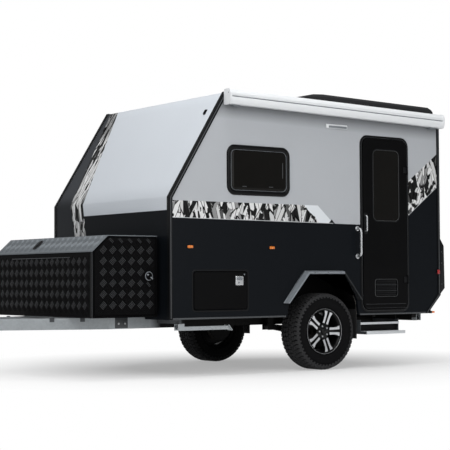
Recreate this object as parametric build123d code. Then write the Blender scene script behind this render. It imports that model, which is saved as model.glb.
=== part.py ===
from build123d import *
import math
import os

# A single-axle travel trailer on its jockey wheel, in millimetres.
# Origin: the centre of the tow ball in the coupling. +X runs to the rear, +Y to the
# right side, +Z up, so the entry door and the awning are on the -Y side.

# Heights above the ground are turned into Z by up(), and distances behind the
# body's front face into X by aft().
BALL_HEIGHT = 560.0
FRONT_X = 1700.0

# Body shell
BODY_WIDTH = 2128.0
BODY_BOTTOM = 540.0
BEND_HEIGHT = 1675.0
ROOF_FRONT_HEIGHT = 2691.0
ROOF_FRONT_X = 638.0
REAR_X = 3500.0
ROOF_FALL = 56.0
REAR_CUT_HEIGHT = 735.0
REAR_CUT_X = 3309.0
PANEL = 35.0
FLOOR_BOTTOM = 560.0
HALF = BODY_WIDTH / 2

# Wheels and arches
WHEEL_X = 1909.0
TYRE_R = 385.0
TYRE_WIDTH = 258.0
TYRE_Y = HALF - 28.0 - TYRE_WIDTH / 2
RIM_LIP_R = 226.0
RIM_WELL_R = 205.0
TREAD_PITCHES = 52
SPOKE_PAIRS = 5
ARCH_TOP = 958.0
ARCH_FRONT = 1418.0
ARCH_REAR = 2312.0
ARCH_FRONT_TOP = 1658.0
ARCH_REAR_TOP = 2140.0
ARCH_SIDE_HEIGHT = 690.0
FLARE_OUT = 62.0

# Independent suspension: a trailing arm, coil and damper each side
ARM_Y = -697.0
ARM_BUSH = 36.5
PIVOT_X = WHEEL_X - 470.0
PIVOT_HEIGHT = 440.0
SPRING_X = WHEEL_X - 45.0
SPRING_SEAT = 440.0
SPRING_TOP = 538.0
SPRING_R = 37.0
SPRING_WIRE = 6.0
SPRING_TURNS = 4
SPRING_RUNS = 12
SHOCK_TOP_X = WHEEL_X + 138.0
STUB_R = 20.0

# Chassis and A-frame drawbar
RAIL_BOTTOM = 455.0
RAIL_TOP = 560.0
RAIL_W = 50.0
RAIL_OUTER_Y = 645.0
JUNCTION_X = -400.0
DRAWBAR_HALF_ANGLE = 25.0
RAIL_END_X = 3120.0

# Front toolbox
BOX_FRONT = -745.0
BOX_REAR = -50.0
BOX_HALF = 931.0
BOX_BOTTOM = 568.0
BOX_FACE_TOP = 1174.0
BOX_TOP = 1317.0
BOX_SLOPE = 160.0
SHEET = 8.0

# Openings in the body: (front x, rear x, low height, top height)
WINDOW = (658.0, 1432.0, 1715.0, 2200.0)
DOOR = (2359.0, 3044.0, 563.0, 2390.0)
DOOR_GLASS = (2520.0, 2905.0, 1498.0, 2256.0)
HATCH = (266.0, 900.0, 623.0, 988.0)
FRAME_LAP = 26.0
GAP = 6.0

# Pop-top lid on the roof, measured along the roof line from its front edge
LID_FRONT = 880.0
LID_LENGTH = 1975.0
LID_HALF = 1000.0
LID_RISE = 112.0
LID_WALL = 24.0

# Jockey wheel
JOCKEY_X = 330.0
JOCKEY_R = 110.0
JOCKEY_TRAIL = 55.0

ROOF_ANGLE = math.degrees(math.atan2(ROOF_FALL, REAR_X - ROOF_FRONT_X))

# Corners below this radius are cut flat
SMALL_CORNER = 24.0


def up(height):
    return height - BALL_HEIGHT


def aft(x):
    return FRONT_X + x


def block(x0, x1, y0, y1, h0, h1):
    """A box between two stations, two widths and two heights above the ground."""
    size = Box(x1 - x0, y1 - y0, h1 - h0)
    return Pos(aft((x0 + x1) / 2), (y0 + y1) / 2, up((h0 + h1) / 2)) * size


def profile(points, y0, y1):
    """A side profile of (station, height) points, extruded between two widths."""
    corners = [(aft(x), y0, up(h)) for x, h in points]
    face = make_face(Polyline(*corners, close=True))
    return extrude(face, amount=y1 - y0, dir=(0, 1, 0))


def rounded_block(x0, x1, y0, y1, h0, h1, radius):
    """A block whose four edges along Y are rounded, or cut flat where they are small."""
    solid = block(x0, x1, y0, y1, h0, h1)
    corners = solid.edges().filter_by(Axis.Y)
    if radius < SMALL_CORNER:
        return chamfer(corners, radius * 0.6)
    return fillet(corners, radius)


def rounded_frame(x0, x1, y0, y1, h0, h1, band, radius):
    """A rounded ring, band wide, standing on the XZ plane."""
    outer = rounded_block(x0, x1, y0, y1, h0, h1, radius)
    inner = rounded_block(x0 + band, x1 - band, y0 - 1, y1 + 1, h0 + band, h1 - band, radius - band / 2)
    return outer - inner


def flipped(solid):
    """The same piece on the right-hand side."""
    return mirror(solid, about=Plane.XZ)


def both_sides(solid):
    return Compound(list((Part() + solid).solids()) + list((Part() + flipped(solid)).solids()))


def loose(*solids):
    """Several solids kept apart in one node."""
    pieces = []
    for solid in solids:
        pieces += list((Part() + solid).solids())
    return Compound(pieces)


def roof_height(x):
    return ROOF_FRONT_HEIGHT - (x - ROOF_FRONT_X) * ROOF_FALL / (REAR_X - ROOF_FRONT_X)


# Outline of the body's side, from the front bottom corner over the roof
OUTLINE = [
    (0.0, BODY_BOTTOM),
    (0.0, BEND_HEIGHT),
    (ROOF_FRONT_X, ROOF_FRONT_HEIGHT),
    (REAR_X, roof_height(REAR_X)),
    (REAR_X, REAR_CUT_HEIGHT),
    (REAR_CUT_X, BODY_BOTTOM),
]


def inner_line(start, end, depth=PANEL):
    """The line one thickness inside an outline edge, as a point and a direction."""
    dx, dz = end[0] - start[0], end[1] - start[1]
    length = math.hypot(dx, dz)
    dx, dz = dx / length, dz / length
    return (start[0] + dz * depth, start[1] - dx * depth), (dx, dz)


def meet(line_a, line_b):
    """Where two lines cross."""
    (ax, az), (adx, adz) = line_a
    (bx, bz), (bdx, bdz) = line_b
    t = ((bx - ax) * bdz - (bz - az) * bdx) / (adx * bdz - adz * bdx)
    return ax + adx * t, az + adz * t


def inner_corners():
    """The outline's corners on the inner skins; the two ends lie at the bottom edge."""
    lines = [inner_line(a, b) for a, b in zip(OUTLINE, OUTLINE[1:])]
    sill = ((0.0, BODY_BOTTOM), (1.0, 0.0))
    corners = [meet(lines[0], sill)]
    for first, second in zip(lines, lines[1:]):
        corners.append(meet(first, second))
    corners.append(meet(lines[-1], sill))
    return corners


INNER = inner_corners()


def shell_panel(index):
    """The panel along one edge of the outline, mitred to its neighbours."""
    points = [OUTLINE[index], OUTLINE[index + 1], INNER[index + 1], INNER[index]]
    return profile(points, -HALF + PANEL, HALF - PANEL)


def arch_cut(y0, y1):
    points = [
        (ARCH_FRONT - 41, BODY_BOTTOM - 50),
        (ARCH_FRONT, ARCH_SIDE_HEIGHT),
        (ARCH_FRONT_TOP, ARCH_TOP),
        (ARCH_REAR_TOP, ARCH_TOP),
        (ARCH_REAR, ARCH_SIDE_HEIGHT),
        (ARCH_REAR + 28, BODY_BOTTOM - 50),
    ]
    return profile(points, y0, y1)


def opening(limits, lap, y0, y1, radius):
    """The hole in a wall behind a frame that laps over it."""
    x0, x1, h0, h1 = limits
    return rounded_block(x0 + lap, x1 - lap, y0, y1, h0 + lap, h1 - lap, radius)


def side_wall(with_door):
    """The left wall, or with with_door False the wall that is mirrored to the right."""
    y0, y1 = -HALF, -HALF + PANEL
    wall = profile(OUTLINE, y0, y1)
    wall -= arch_cut(y0 - 1, y1 + 1)
    wall -= opening(WINDOW, FRAME_LAP, y0 - 1, y1 + 1, 70)
    wall -= opening(HATCH, 0, y0 - 1, y1 + 1, 30)
    if with_door:
        wall -= opening(DOOR, FRAME_LAP, y0 - 1, y1 + 1, 75)
    return wall


def front_panel():
    """The upright front panel, notched over the chassis rails."""
    notch = block(-60, 100, -RAIL_OUTER_Y - 6, RAIL_OUTER_Y + 6, BODY_BOTTOM - 10, RAIL_TOP)
    return shell_panel(0) - notch


def roof_panel():
    roof = shell_panel(2)
    x0 = LID_FRONT + ROOF_FRONT_X + 130
    x1 = LID_FRONT + ROOF_FRONT_X + LID_LENGTH - 130
    hole = block(x0, x1, -LID_HALF + 150, LID_HALF - 150, ROOF_FRONT_HEIGHT - 200, ROOF_FRONT_HEIGHT + 60)
    return roof - fillet(hole.edges().filter_by(Axis.Z), 60)


def floor_panel():
    """The floor between the front and rear panels, notched for the wheel boxes."""
    top = FLOOR_BOTTOM + PANEL
    rear = (INNER[5], (OUTLINE[4][0] - OUTLINE[5][0], OUTLINE[4][1] - OUTLINE[5][1]))
    rear_low = meet(rear, ((0.0, FLOOR_BOTTOM), (1.0, 0.0)))
    rear_top = meet(rear, ((0.0, top), (1.0, 0.0)))
    points = [(PANEL, FLOOR_BOTTOM), (PANEL, top), rear_top, rear_low]
    floor = profile(points, -HALF + PANEL, HALF - PANEL)
    for y0, y1 in ((-HALF, -BOX_INNER_Y), (BOX_INNER_Y, HALF)):
        floor -= block(WHEELBOX_FRONT, WHEELBOX_REAR, y0, y1, FLOOR_BOTTOM - 10, top + 10)
    return floor


# Wheel boxes: closed on top and inboard, open below and at the arch
BOX_INNER_Y = 748.0
WHEELBOX_FRONT = ARCH_FRONT - 50
WHEELBOX_REAR = ARCH_REAR + 38
WHEELBOX_TOP = ARCH_TOP + 30
WHEELBOX_PLY = 12.0


def wheel_box():
    """A folded box of plain sheet round the wheel, with sloped ends."""
    outer = [
        (WHEELBOX_FRONT, FLOOR_BOTTOM),
        (WHEELBOX_FRONT, ARCH_SIDE_HEIGHT),
        (ARCH_FRONT_TOP - 14, WHEELBOX_TOP),
        (ARCH_REAR_TOP + 14, WHEELBOX_TOP),
        (WHEELBOX_REAR, ARCH_SIDE_HEIGHT),
        (WHEELBOX_REAR, FLOOR_BOTTOM),
    ]
    inner = [
        (WHEELBOX_FRONT + WHEELBOX_PLY, FLOOR_BOTTOM - 1),
        (WHEELBOX_FRONT + WHEELBOX_PLY, ARCH_SIDE_HEIGHT - 4),
        (ARCH_FRONT_TOP - 8, WHEELBOX_TOP - WHEELBOX_PLY),
        (ARCH_REAR_TOP + 8, WHEELBOX_TOP - WHEELBOX_PLY),
        (WHEELBOX_REAR - WHEELBOX_PLY, ARCH_SIDE_HEIGHT - 4),
        (WHEELBOX_REAR - WHEELBOX_PLY, FLOOR_BOTTOM - 1),
    ]
    shell = profile(outer, -HALF + PANEL, -BOX_INNER_Y)
    return shell - profile(inner, -HALF, -BOX_INNER_Y - WHEELBOX_PLY)


# The flare's outline as (station, height): at the wall, then at its lip, from the front foot
FLARE_AT_WALL = [(1343.0, 676.0), (1610.0, 996.0), (2130.0, 996.0), (2354.0, 700.0)]
FLARE_AT_LIP = [(1370.0, 673.0), (1630.0, 979.0), (2124.0, 979.0), (2332.0, 697.0)]
FLARE_MOUTH = [(2316.0, 692.0), (2140.0, 955.0), (1658.0, 955.0), (1418.0, 672.0)]


def arch_flare():
    """The folded flare round the wheel arch: a raked flank and a flat lip round the opening."""
    rings = []
    for outer, y in ((FLARE_AT_WALL, -HALF), (FLARE_AT_LIP, -HALF - FLARE_OUT)):
        corners = [(aft(x), y, up(h)) for x, h in outer + FLARE_MOUTH]
        rings.append(make_face(Polyline(*corners, close=True)))
    return loft(rings, ruled=True)


def edge_trim():
    """The black moulding that wraps the side wall's outer edge, open at the bottom."""
    width, proud = 34.0, 7.0
    grown = [
        (-proud, BODY_BOTTOM),
        (-proud, BEND_HEIGHT + 2),
        (ROOF_FRONT_X - 4, ROOF_FRONT_HEIGHT + proud),
        (REAR_X + proud, roof_height(REAR_X) + proud),
        (REAR_X + proud, REAR_CUT_HEIGHT - 3),
        (REAR_CUT_X + 4, BODY_BOTTOM),
    ]
    band = profile(grown, -HALF - proud, -HALF + width)
    core = profile(OUTLINE, -HALF, -HALF + width + 1)
    lip = 30.0
    window = [
        (lip, BODY_BOTTOM - 10),
        (lip, BEND_HEIGHT - 9),
        (ROOF_FRONT_X + 17, ROOF_FRONT_HEIGHT - lip),
        (REAR_X - lip, roof_height(REAR_X) - lip),
        (REAR_X - lip, REAR_CUT_HEIGHT + 13),
        (REAR_CUT_X - 22, BODY_BOTTOM - 10),
    ]
    return band - core - profile(window, -HALF - proud - 1, -HALF + 1)


def window_unit():
    """The outer frame of a hinged caravan window and its domed acrylic pane."""
    x0, x1, h0, h1 = WINDOW
    frame = rounded_frame(x0, x1, -HALF - 14, -HALF, h0, h1, 50, 92)
    pane = rounded_block(x0 + 52, x1 - 52, -HALF - 9, -HALF - 1, h0 + 52, h1 - 52, 64)
    return frame, pane


def door_frame():
    x0, x1, h0, h1 = DOOR
    return rounded_frame(x0, x1, -HALF - 8, -HALF, h0, h1, FRAME_LAP, 100)


def door_leaf():
    """The entry door: a full-thickness leaf with a window hole and a kick vent recess."""
    x0, x1, h0, h1 = DOOR
    edge = FRAME_LAP + GAP
    outside = -HALF - 14
    leaf = rounded_block(x0 + edge, x1 - edge, outside, -HALF + PANEL - 2, h0 + edge, h1 - edge, 72)
    gx0, gx1, gh0, gh1 = DOOR_GLASS
    leaf -= rounded_block(gx0 + 30, gx1 - 30, outside - 1, -HALF + PANEL, gh0 + 30, gh1 - 30, 50)
    leaf -= rounded_block(gx0 + 12, gx1 - 12, outside - 1, outside + 6, gh0 + 12, gh1 - 12, 56)
    vent = rounded_block(2551, 2863, outside - 1, outside + 5, 730, 903, 18)
    for height in (752, 783, 814, 845, 876):
        vent -= block(2566, 2848, outside - 2, outside + 5.5, height, height + 14)
    return leaf - vent


def door_window():
    gx0, gx1, gh0, gh1 = DOOR_GLASS
    return rounded_block(gx0 + 12, gx1 - 12, -HALF - 13.5, -HALF - 8, gh0 + 12, gh1 - 12, 56)


def door_lock():
    """The lock plate and its lever, on the door's front edge."""
    plate = rounded_block(2406, 2466, -HALF - 22, -HALF - 14, 1360, 1592, 22)
    pull = rounded_block(2424, 2448, -HALF - 52, -HALF - 42, 1392, 1540, 10)
    posts = block(2426, 2446, -HALF - 44, -HALF - 20, 1500, 1530)
    posts += block(2426, 2446, -HALF - 44, -HALF - 20, 1400, 1424)
    hinge_low = Pos(aft(HINGE_X), HINGE_Y, up(900)) * Cylinder(7, 90)
    hinge_top = Pos(aft(HINGE_X), HINGE_Y, up(2050)) * Cylinder(7, 90)
    straps = block(HINGE_X - 60, HINGE_X, -HALF - 20, -HALF - 14, 870, 930)
    straps += block(HINGE_X - 60, HINGE_X, -HALF - 20, -HALF - 14, 2020, 2080)
    return loose(plate + posts + pull, straps + hinge_low + hinge_top)


HINGE_X = DOOR[1] - FRAME_LAP - 2
HINGE_Y = -HALF - 22.0


def hatch_leaf():
    """A service hatch: a flush leaf with a raised lock plate."""
    x0, x1, h0, h1 = HATCH
    leaf = rounded_block(x0 + GAP, x1 - GAP, -HALF - 4, -HALF + PANEL - 4, h0 + GAP, h1 - GAP, 26)
    lock = rounded_block(x1 - 92, x1 - 56, -HALF - 12, -HALF - 4, h1 - 130, h1 - 50, 12)
    return leaf + lock


def chassis_rails():
    """The two main rails, from the drawbar back to the rear member."""
    inner = RAIL_OUTER_Y - RAIL_W
    return both_sides(block(JUNCTION_X, RAIL_END_X, -RAIL_OUTER_Y, -inner, RAIL_BOTTOM, RAIL_TOP))


# Members between the rails, and the full-width ones that carry the corner steadies
MEMBER_STATIONS = (-20.0, 640.0, 1290.0, 2420.0)
FRONT_MEMBER_X = 140.0
MEMBER_W = 50.0
WIDE_MEMBER_W = 60.0
WIDE_MEMBER_BOTTOM = 500.0
WIDE_MEMBER_Y = HALF - 44.0


def cross_members():
    """Members between the rails, outriggers beyond them, and the rear member across their ends."""
    inner = RAIL_OUTER_Y - RAIL_W
    members = [block(x, x + MEMBER_W, -inner, inner, RAIL_BOTTOM + 25, RAIL_TOP) for x in MEMBER_STATIONS]
    front, rear = (FRONT_MEMBER_X, FRONT_MEMBER_X + WIDE_MEMBER_W), (RAIL_END_X, RAIL_END_X + WIDE_MEMBER_W)
    members.append(block(*front, -inner, inner, WIDE_MEMBER_BOTTOM, RAIL_TOP))
    members.append(both_sides(block(*front, -WIDE_MEMBER_Y, -RAIL_OUTER_Y, WIDE_MEMBER_BOTTOM, RAIL_TOP)))
    members.append(block(*rear, -WIDE_MEMBER_Y, WIDE_MEMBER_Y, WIDE_MEMBER_BOTTOM, RAIL_TOP))
    return loose(*members)


BRACKET_OUTER_Y = 742.0
BRACKET_PLATE = 8.0


def suspension_brackets():
    """Outboard of each rail: the arm's hanger, the spring tower, the damper's plate and an outrigger."""
    y0, y1 = -BRACKET_OUTER_Y, -RAIL_OUTER_Y
    hanger = block(PIVOT_X - 34, PIVOT_X + 34, y0, y1, RAIL_TOP - BRACKET_PLATE, RAIL_TOP)
    for y in (y0, y1 - BRACKET_PLATE):
        cheek = block(PIVOT_X - 34, PIVOT_X + 34, y, y + BRACKET_PLATE, PIVOT_HEIGHT - 36, RAIL_TOP)
        hanger += cheek
    tower = block(SPRING_X - 60, SPRING_X + 60, y0, y1, SPRING_TOP, RAIL_TOP)
    damper = block(SHOCK_TOP_X - 24, SHOCK_TOP_X + 24, y0, y1, RAIL_TOP - 22, RAIL_TOP)
    outrigger = block(2560, 2600, -WIDE_MEMBER_Y, y1, 515, RAIL_TOP)
    return both_sides(loose(hanger, tower + damper, outrigger))


def drawbar_line(y):
    """The station where the drawbar rail's outer face stands at a given half-width."""
    return JUNCTION_X - (RAIL_OUTER_Y - y) / math.tan(math.radians(DRAWBAR_HALF_ANGLE))


DRAWBAR_NOSE_Y = 118.0


def drawbar():
    """The two converging rails, the nose plate, a jockey plate and the safety chain lugs."""
    slope = math.tan(math.radians(DRAWBAR_HALF_ANGLE))
    across = RAIL_W / math.cos(math.radians(DRAWBAR_HALF_ANGLE))
    nose = drawbar_line(DRAWBAR_NOSE_Y)
    corners = [
        (aft(nose), -DRAWBAR_NOSE_Y),
        (aft(JUNCTION_X), -RAIL_OUTER_Y),
        (aft(JUNCTION_X), -RAIL_OUTER_Y + across),
        (aft(nose), -DRAWBAR_NOSE_Y + across),
    ]
    rail = extrude(make_face(Polyline(*[(x, y, up(RAIL_BOTTOM)) for x, y in corners], close=True)),
                   amount=RAIL_TOP - RAIL_BOTTOM, dir=(0, 0, 1))
    frame = rail + flipped(rail)
    bridge = (JOCKEY_X - FRONT_X) + 60
    width = RAIL_OUTER_Y - (JUNCTION_X - bridge) * slope - across
    frame += block(nose, nose + 16, -DRAWBAR_NOSE_Y, DRAWBAR_NOSE_Y, RAIL_BOTTOM, RAIL_TOP)
    frame += block(bridge, bridge + 12, -width - 8, width + 8, RAIL_BOTTOM, RAIL_TOP)
    frame += block(-1010, -960, -330, 330, RAIL_BOTTOM + 30, RAIL_TOP)
    frame += block(nose, bridge - 130, -96, 96, RAIL_TOP, RAIL_TOP + 8)
    return frame


def coupling():
    """A pressed ball coupling: a channel shank, a domed head with its socket, and the latch."""
    plate = RAIL_TOP + 8
    shank = block(25 - FRONT_X, 250 - FRONT_X, -38, 38, plate, plate + 14)
    side = block(25 - FRONT_X, 215 - FRONT_X, -38, -30, plate, plate + 46)
    shank += side + flipped(side)
    rings = [Pos(0, 0, z) * RegularPolygon(r, 16) for z, r in HEAD_RINGS]
    head = loft(rings, ruled=True)
    neck = Pos(35, 0, 28) * Box(60, 70, 34)
    socket = Cylinder(SOCKET_R, SOCKET_DEPTH)
    crown = Pos(0, 0, SOCKET_DEPTH / 2) * RegularPolygon(SOCKET_R - 1, 16)
    socket += loft([crown, Pos(0, 0, SOCKET_DEPTH / 2 + 14) * RegularPolygon(12, 16)], ruled=True)
    latch = Pos(150, 0, 72) * Rot(0, -12, 0) * Box(170, 30, 12)
    lug = Pos(110, 0, 48) * Box(40, 24, 60)
    body = shank + head + neck + lug + latch
    return body - socket


SOCKET_R = 25.25
SOCKET_DEPTH = 28.0
# The domed head's rings: (height over the ball's centre, radius)
HEAD_RINGS = [(-14.0, 39.0), (18.0, 41.0), (38.0, 35.0), (52.0, 22.0), (58.0, 8.0)]


def jockey_clamp():
    """The clamp welded on the bridge plate, and the outer tube with its crank."""
    x = JOCKEY_X - FRONT_X
    clamp = block(x - 42, x + 60, -46, 46, RAIL_TOP - 70, RAIL_TOP - 6)
    tube = Pos(JOCKEY_X, 0, up(645)) * Cylinder(30, 430)
    bore = Pos(JOCKEY_X, 0, up(630)) * Cylinder(25.6, 420)
    cap = Pos(JOCKEY_X, 0, up(868)) * Cylinder(33, 16)
    arm = block(x - 10, x + 130, -8, 8, 876, 890)
    grip = Pos(JOCKEY_X + 122, 0, up(925)) * Cylinder(13, 80)
    return clamp + tube - bore + cap + arm + grip


def jockey_inner():
    """The inner tube that winds down, with the plate that carries the fork."""
    tube = Pos(JOCKEY_X, 0, up(430)) * Cylinder(25, 380)
    flange = Pos(JOCKEY_X, 0, up(248)) * Cylinder(34, 16)
    return tube + flange


def jockey_fork():
    """The swivelling fork, trailing behind the tube's axis."""
    x = JOCKEY_X - FRONT_X
    crown = Pos(JOCKEY_X, 0, up(231)) * Cylinder(36, 14)
    crown += block(x - 20, x + JOCKEY_TRAIL + 24, -42, 42, 226, 238)
    points = [(x + 18, 238), (x + JOCKEY_TRAIL + 24, 238), (x + JOCKEY_TRAIL + 18, 94), (x + JOCKEY_TRAIL - 18, 94)]
    cheek = profile(points, -42, -36)
    axle = Pos(JOCKEY_X + JOCKEY_TRAIL, 0, up(JOCKEY_R)) * Rot(90, 0, 0) * Cylinder(8, 96)
    return crown + cheek + flipped(cheek) + axle


def flats(rings, sides=TREAD_PITCHES):
    """A turned form about the wheel's axis from (width, radius) rings, in flats round its rim."""
    sections = []
    for y, radius in rings:
        plane = Plane(origin=(0, y, 0), x_dir=(1, 0, 0), z_dir=(0, 1, 0))
        sections.append(plane * RegularPolygon(radius, sides))
    return loft(sections, ruled=True)


def jockey_wheel():
    """A solid rubber wheel with a dished centre on a plain bore."""
    rings = [(-28, 80), (-24, 86), (-22, 104), (-12, JOCKEY_R), (12, JOCKEY_R), (22, 104), (24, 86), (28, 80)]
    wheel = flats(rings, 40)
    for side in (-1, 1):
        wheel -= flats([(side * 18, 62), (side * 29, 70)], 40)
    wheel += flats([(-26, 24), (26, 24)], 20)
    wheel -= Rot(90, 0, 0) * Cylinder(9, 70)
    return Pos(JOCKEY_X + JOCKEY_TRAIL, 0, up(JOCKEY_R)) * wheel


def toolbox_outline(inset=0.0):
    """The toolbox's side profile, pulled in by an inset."""
    return [
        (BOX_FRONT + inset, BOX_BOTTOM + inset),
        (BOX_FRONT + inset, BOX_FACE_TOP - inset * 0.4),
        (BOX_FRONT + BOX_SLOPE + inset * 0.4, BOX_TOP - inset),
        (BOX_REAR - inset, BOX_TOP - inset),
        (BOX_REAR - inset, BOX_BOTTOM + inset),
    ]


def lid_line(depth):
    """The lid's front edge, bend and rear edge, at a depth below its outer face."""
    chain = [(BOX_FRONT, BOX_FACE_TOP), (BOX_FRONT + BOX_SLOPE, BOX_TOP), (BOX_REAR, BOX_TOP)]
    slope, top = [inner_line(a, b, depth) for a, b in zip(chain, chain[1:])]
    front = ((BOX_FRONT, 0.0), (0.0, 1.0))
    rear = ((BOX_REAR, 0.0), (0.0, 1.0))
    return [meet(slope, front), meet(slope, top), meet(top, rear)]


def toolbox_shell():
    """The sheet box: open under the lid and at both side doors."""
    shell = profile(toolbox_outline(), -BOX_HALF, BOX_HALF)
    shell -= profile(toolbox_outline(SHEET), -BOX_HALF + SHEET, BOX_HALF - SHEET)
    shell -= profile(toolbox_outline(DOOR_MARGIN), -BOX_HALF - 1, -BOX_HALF + SHEET + 1)
    shell -= profile(toolbox_outline(DOOR_MARGIN), BOX_HALF - SHEET - 1, BOX_HALF + 1)
    front, bend, rear = lid_line(LID_SHEET + GAP)
    above = [
        (BOX_FRONT - 5, front[1] - 5),
        bend,
        (BOX_REAR + 5, rear[1]),
        (BOX_REAR + 5, BOX_TOP + 5),
        (BOX_FRONT - 5, BOX_TOP + 5),
    ]
    return shell - profile(above, -BOX_HALF - 1, BOX_HALF + 1)


LID_SHEET = 8.0
DOOR_MARGIN = 16.0


def toolbox_lid():
    """The lid: a flat top and the sloped front face in one folded sheet."""
    outer = lid_line(0.0)
    inner = lid_line(LID_SHEET)
    lid = profile(outer + inner[::-1], -BOX_HALF, BOX_HALF)
    low, high = outer[0], outer[1]
    plate = [(low[0] + (high[0] - low[0]) * t, low[1] + (high[1] - low[1]) * t) for t in (0.3, 0.85)]
    raised = [inner_line(high, low, 6.0)[0], inner_line(high, low, 6.0)[0]]
    rise = (raised[0][0] - high[0], raised[0][1] - high[1])
    boss = plate + [(x + rise[0], z + rise[1]) for x, z in plate[::-1]]
    return lid + profile(boss, 175, 245)


def toolbox_door():
    """The side door that fills the toolbox's end, with its rotary lock."""
    leaf = profile(toolbox_outline(DOOR_MARGIN + GAP), -BOX_HALF - 2, -BOX_HALF + 14)
    lock = Pos(aft(-150), -BOX_HALF - 8, up(945)) * Rot(90, 0, 0) * Cylinder(32, 14)
    turn = Pos(aft(-138), -BOX_HALF - 20, up(930)) * Rot(0, 40, 0) * Box(60, 14, 20)
    return leaf + lock + turn


def trailing_arm():
    """One boxed arm from its pivot bush to the stub axle, with the spring seat on it."""
    points = [
        (PIVOT_X, PIVOT_HEIGHT - 24),
        (PIVOT_X, PIVOT_HEIGHT + 24),
        (PIVOT_X + 300, PIVOT_HEIGHT - 4),
        (WHEEL_X + 40, TYRE_R + 42),
        (WHEEL_X + 84, TYRE_R + 24),
        (WHEEL_X + 60, TYRE_R - 38),
        (WHEEL_X - 60, TYRE_R - 42),
    ]
    arm = profile(points, ARM_Y - 30, ARM_Y + 30)
    bush = Pos(aft(PIVOT_X), ARM_Y, up(PIVOT_HEIGHT)) * Rot(90, 0, 0) * Cylinder(28, 2 * ARM_BUSH)
    seat = Pos(aft(SPRING_X), ARM_Y, up(SPRING_SEAT - 8)) * Cylinder(38, 16)
    stub = Pos(aft(WHEEL_X), -817, up(TYRE_R)) * Rot(90, 0, 0) * Cylinder(STUB_R, 234)
    return arm + bush + seat + stub


def coil_spring():
    """The coil between the arm's seat and the tower under the rail, in straight runs of wire."""
    height = SPRING_TOP - SPRING_SEAT - 2 * SPRING_WIRE
    runs = SPRING_TURNS * SPRING_RUNS
    points = []
    for index in range(runs + 1):
        angle = 2 * math.pi * index / SPRING_RUNS
        points.append((SPRING_R * math.cos(angle), SPRING_R * math.sin(angle), height * index / runs))
    path = Polyline(*points)
    section = Plane(origin=path @ 0, z_dir=path % 0) * RegularPolygon(SPRING_WIRE, 6)
    coil = sweep(section, path=path, transition=Transition.RIGHT)
    return Pos(aft(SPRING_X), ARM_Y, up(SPRING_SEAT + SPRING_WIRE)) * coil


def backing_plate():
    """The brake's fixed backing plate on the arm."""
    plate = Pos(aft(WHEEL_X), -752, up(TYRE_R)) * Rot(90, 0, 0) * Cylinder(146, 8)
    neck = Pos(aft(WHEEL_X), -737.5, up(TYRE_R)) * Rot(90, 0, 0) * Cylinder(42, 21)
    bore = Pos(aft(WHEEL_X), -750, up(TYRE_R)) * Rot(90, 0, 0) * Cylinder(STUB_R + 0.3, 80)
    return plate + neck - bore


def brake_drum():
    """The drum and hub that turn with the wheel on the stub axle."""
    centre = Pos(aft(WHEEL_X), 0, up(TYRE_R))
    drum = Pos(0, -794, 0) * Rot(90, 0, 0) * Cylinder(138, 66)
    boss = Pos(0, (-942 - 827) / 2, 0) * Rot(90, 0, 0) * Cylinder(48, 115)
    bore = Pos(0, -848, 0) * Rot(90, 0, 0) * Cylinder(STUB_R + 0.05, 180)
    return centre * (drum + boss - bore)


def tyre():
    """An all-terrain tyre with a flat for each pitch of its tread; its blocks' tips are the outer radius."""
    half = TYRE_WIDTH / 2
    shoulders = [(half, 312.0), (half - 4, 344.0), (half - 18, 370.0), (half - 44, TYRE_R)]
    rings = [(-y, r) for y, r in shoulders] + [(y, r) for y, r in reversed(shoulders)]
    solid = flats(rings)
    for side in (-1, 1):
        recess = [(half + 1, 306.0), (half - 10, 250.0), (half - 27.2, RIM_LIP_R + 4), (half - 35.5, RIM_WELL_R + 1.5)]
        solid -= flats([(side * y, r) for y, r in recess])
    solid -= flats([(-half, RIM_WELL_R + 1), (half, RIM_WELL_R + 1)])
    return Pos(aft(WHEEL_X), -TYRE_Y, up(TYRE_R)) * solid


# Half of a twin spoke: (radius, distance from the pair's middle line)
SPOKE_HALF = [
    (52.0, 7.0),
    (52.0, 30.0),
    (70.0, 41.0),
    (90.0, 39.5),
    (150.0, 40.5),
    (172.0, 45.0),
    (190.0, 54.5),
    (195.0, 55.5),
    (196.0, 11.0),
    (175.0, 9.8),
]
SPOKE_FACE = -103.5
SPOKE_DEPTH = 36.0
HUB_R = 68.0


def spoke_half(side):
    """One bar of a twin spoke, drawn pointing along +X."""
    corners = [(radius, SPOKE_FACE, side * offset) for radius, offset in SPOKE_HALF]
    return extrude(make_face(Polyline(*corners, close=True)), amount=SPOKE_DEPTH, dir=(0, 1, 0))


def rim():
    """The alloy wheel: a well with its lips, and twin spokes that dip from the lip to the hub."""
    half = TYRE_WIDTH / 2
    outside = [(-half + 18, RIM_LIP_R), (-half + 28, RIM_LIP_R), (-half + 34, RIM_WELL_R),
               (half - 34, RIM_WELL_R), (half - 28, RIM_LIP_R), (half - 22, RIM_LIP_R)]
    inside = [(-half + 17, RIM_LIP_R - 9), (-half + 40, RIM_WELL_R - 10), (half - 40, RIM_WELL_R - 10),
              (half - 21, RIM_LIP_R - 9)]
    wheel = flats(outside) - flats(inside)
    spokes = Part()
    for index in range(SPOKE_PAIRS):
        for side in (-1, 1):
            spokes += Rot(0, 360 / SPOKE_PAIRS * index, 0) * spoke_half(side)
    dip = flats([(SPOKE_FACE - 1, 186.0), (SPOKE_FACE + 13, 50.0)], 40)
    hub = flats([(SPOKE_FACE + 14, HUB_R - 4), (SPOKE_FACE + 20, HUB_R), (-35, HUB_R)], 40)
    cap = flats([(SPOKE_FACE - 3, 24.0), (SPOKE_FACE + 2, 30.0), (SPOKE_FACE + 16, 30.0)], 20)
    wheel += (spokes - dip) + hub + cap
    return Pos(aft(WHEEL_X), -TYRE_Y, up(TYRE_R)) * wheel


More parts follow.
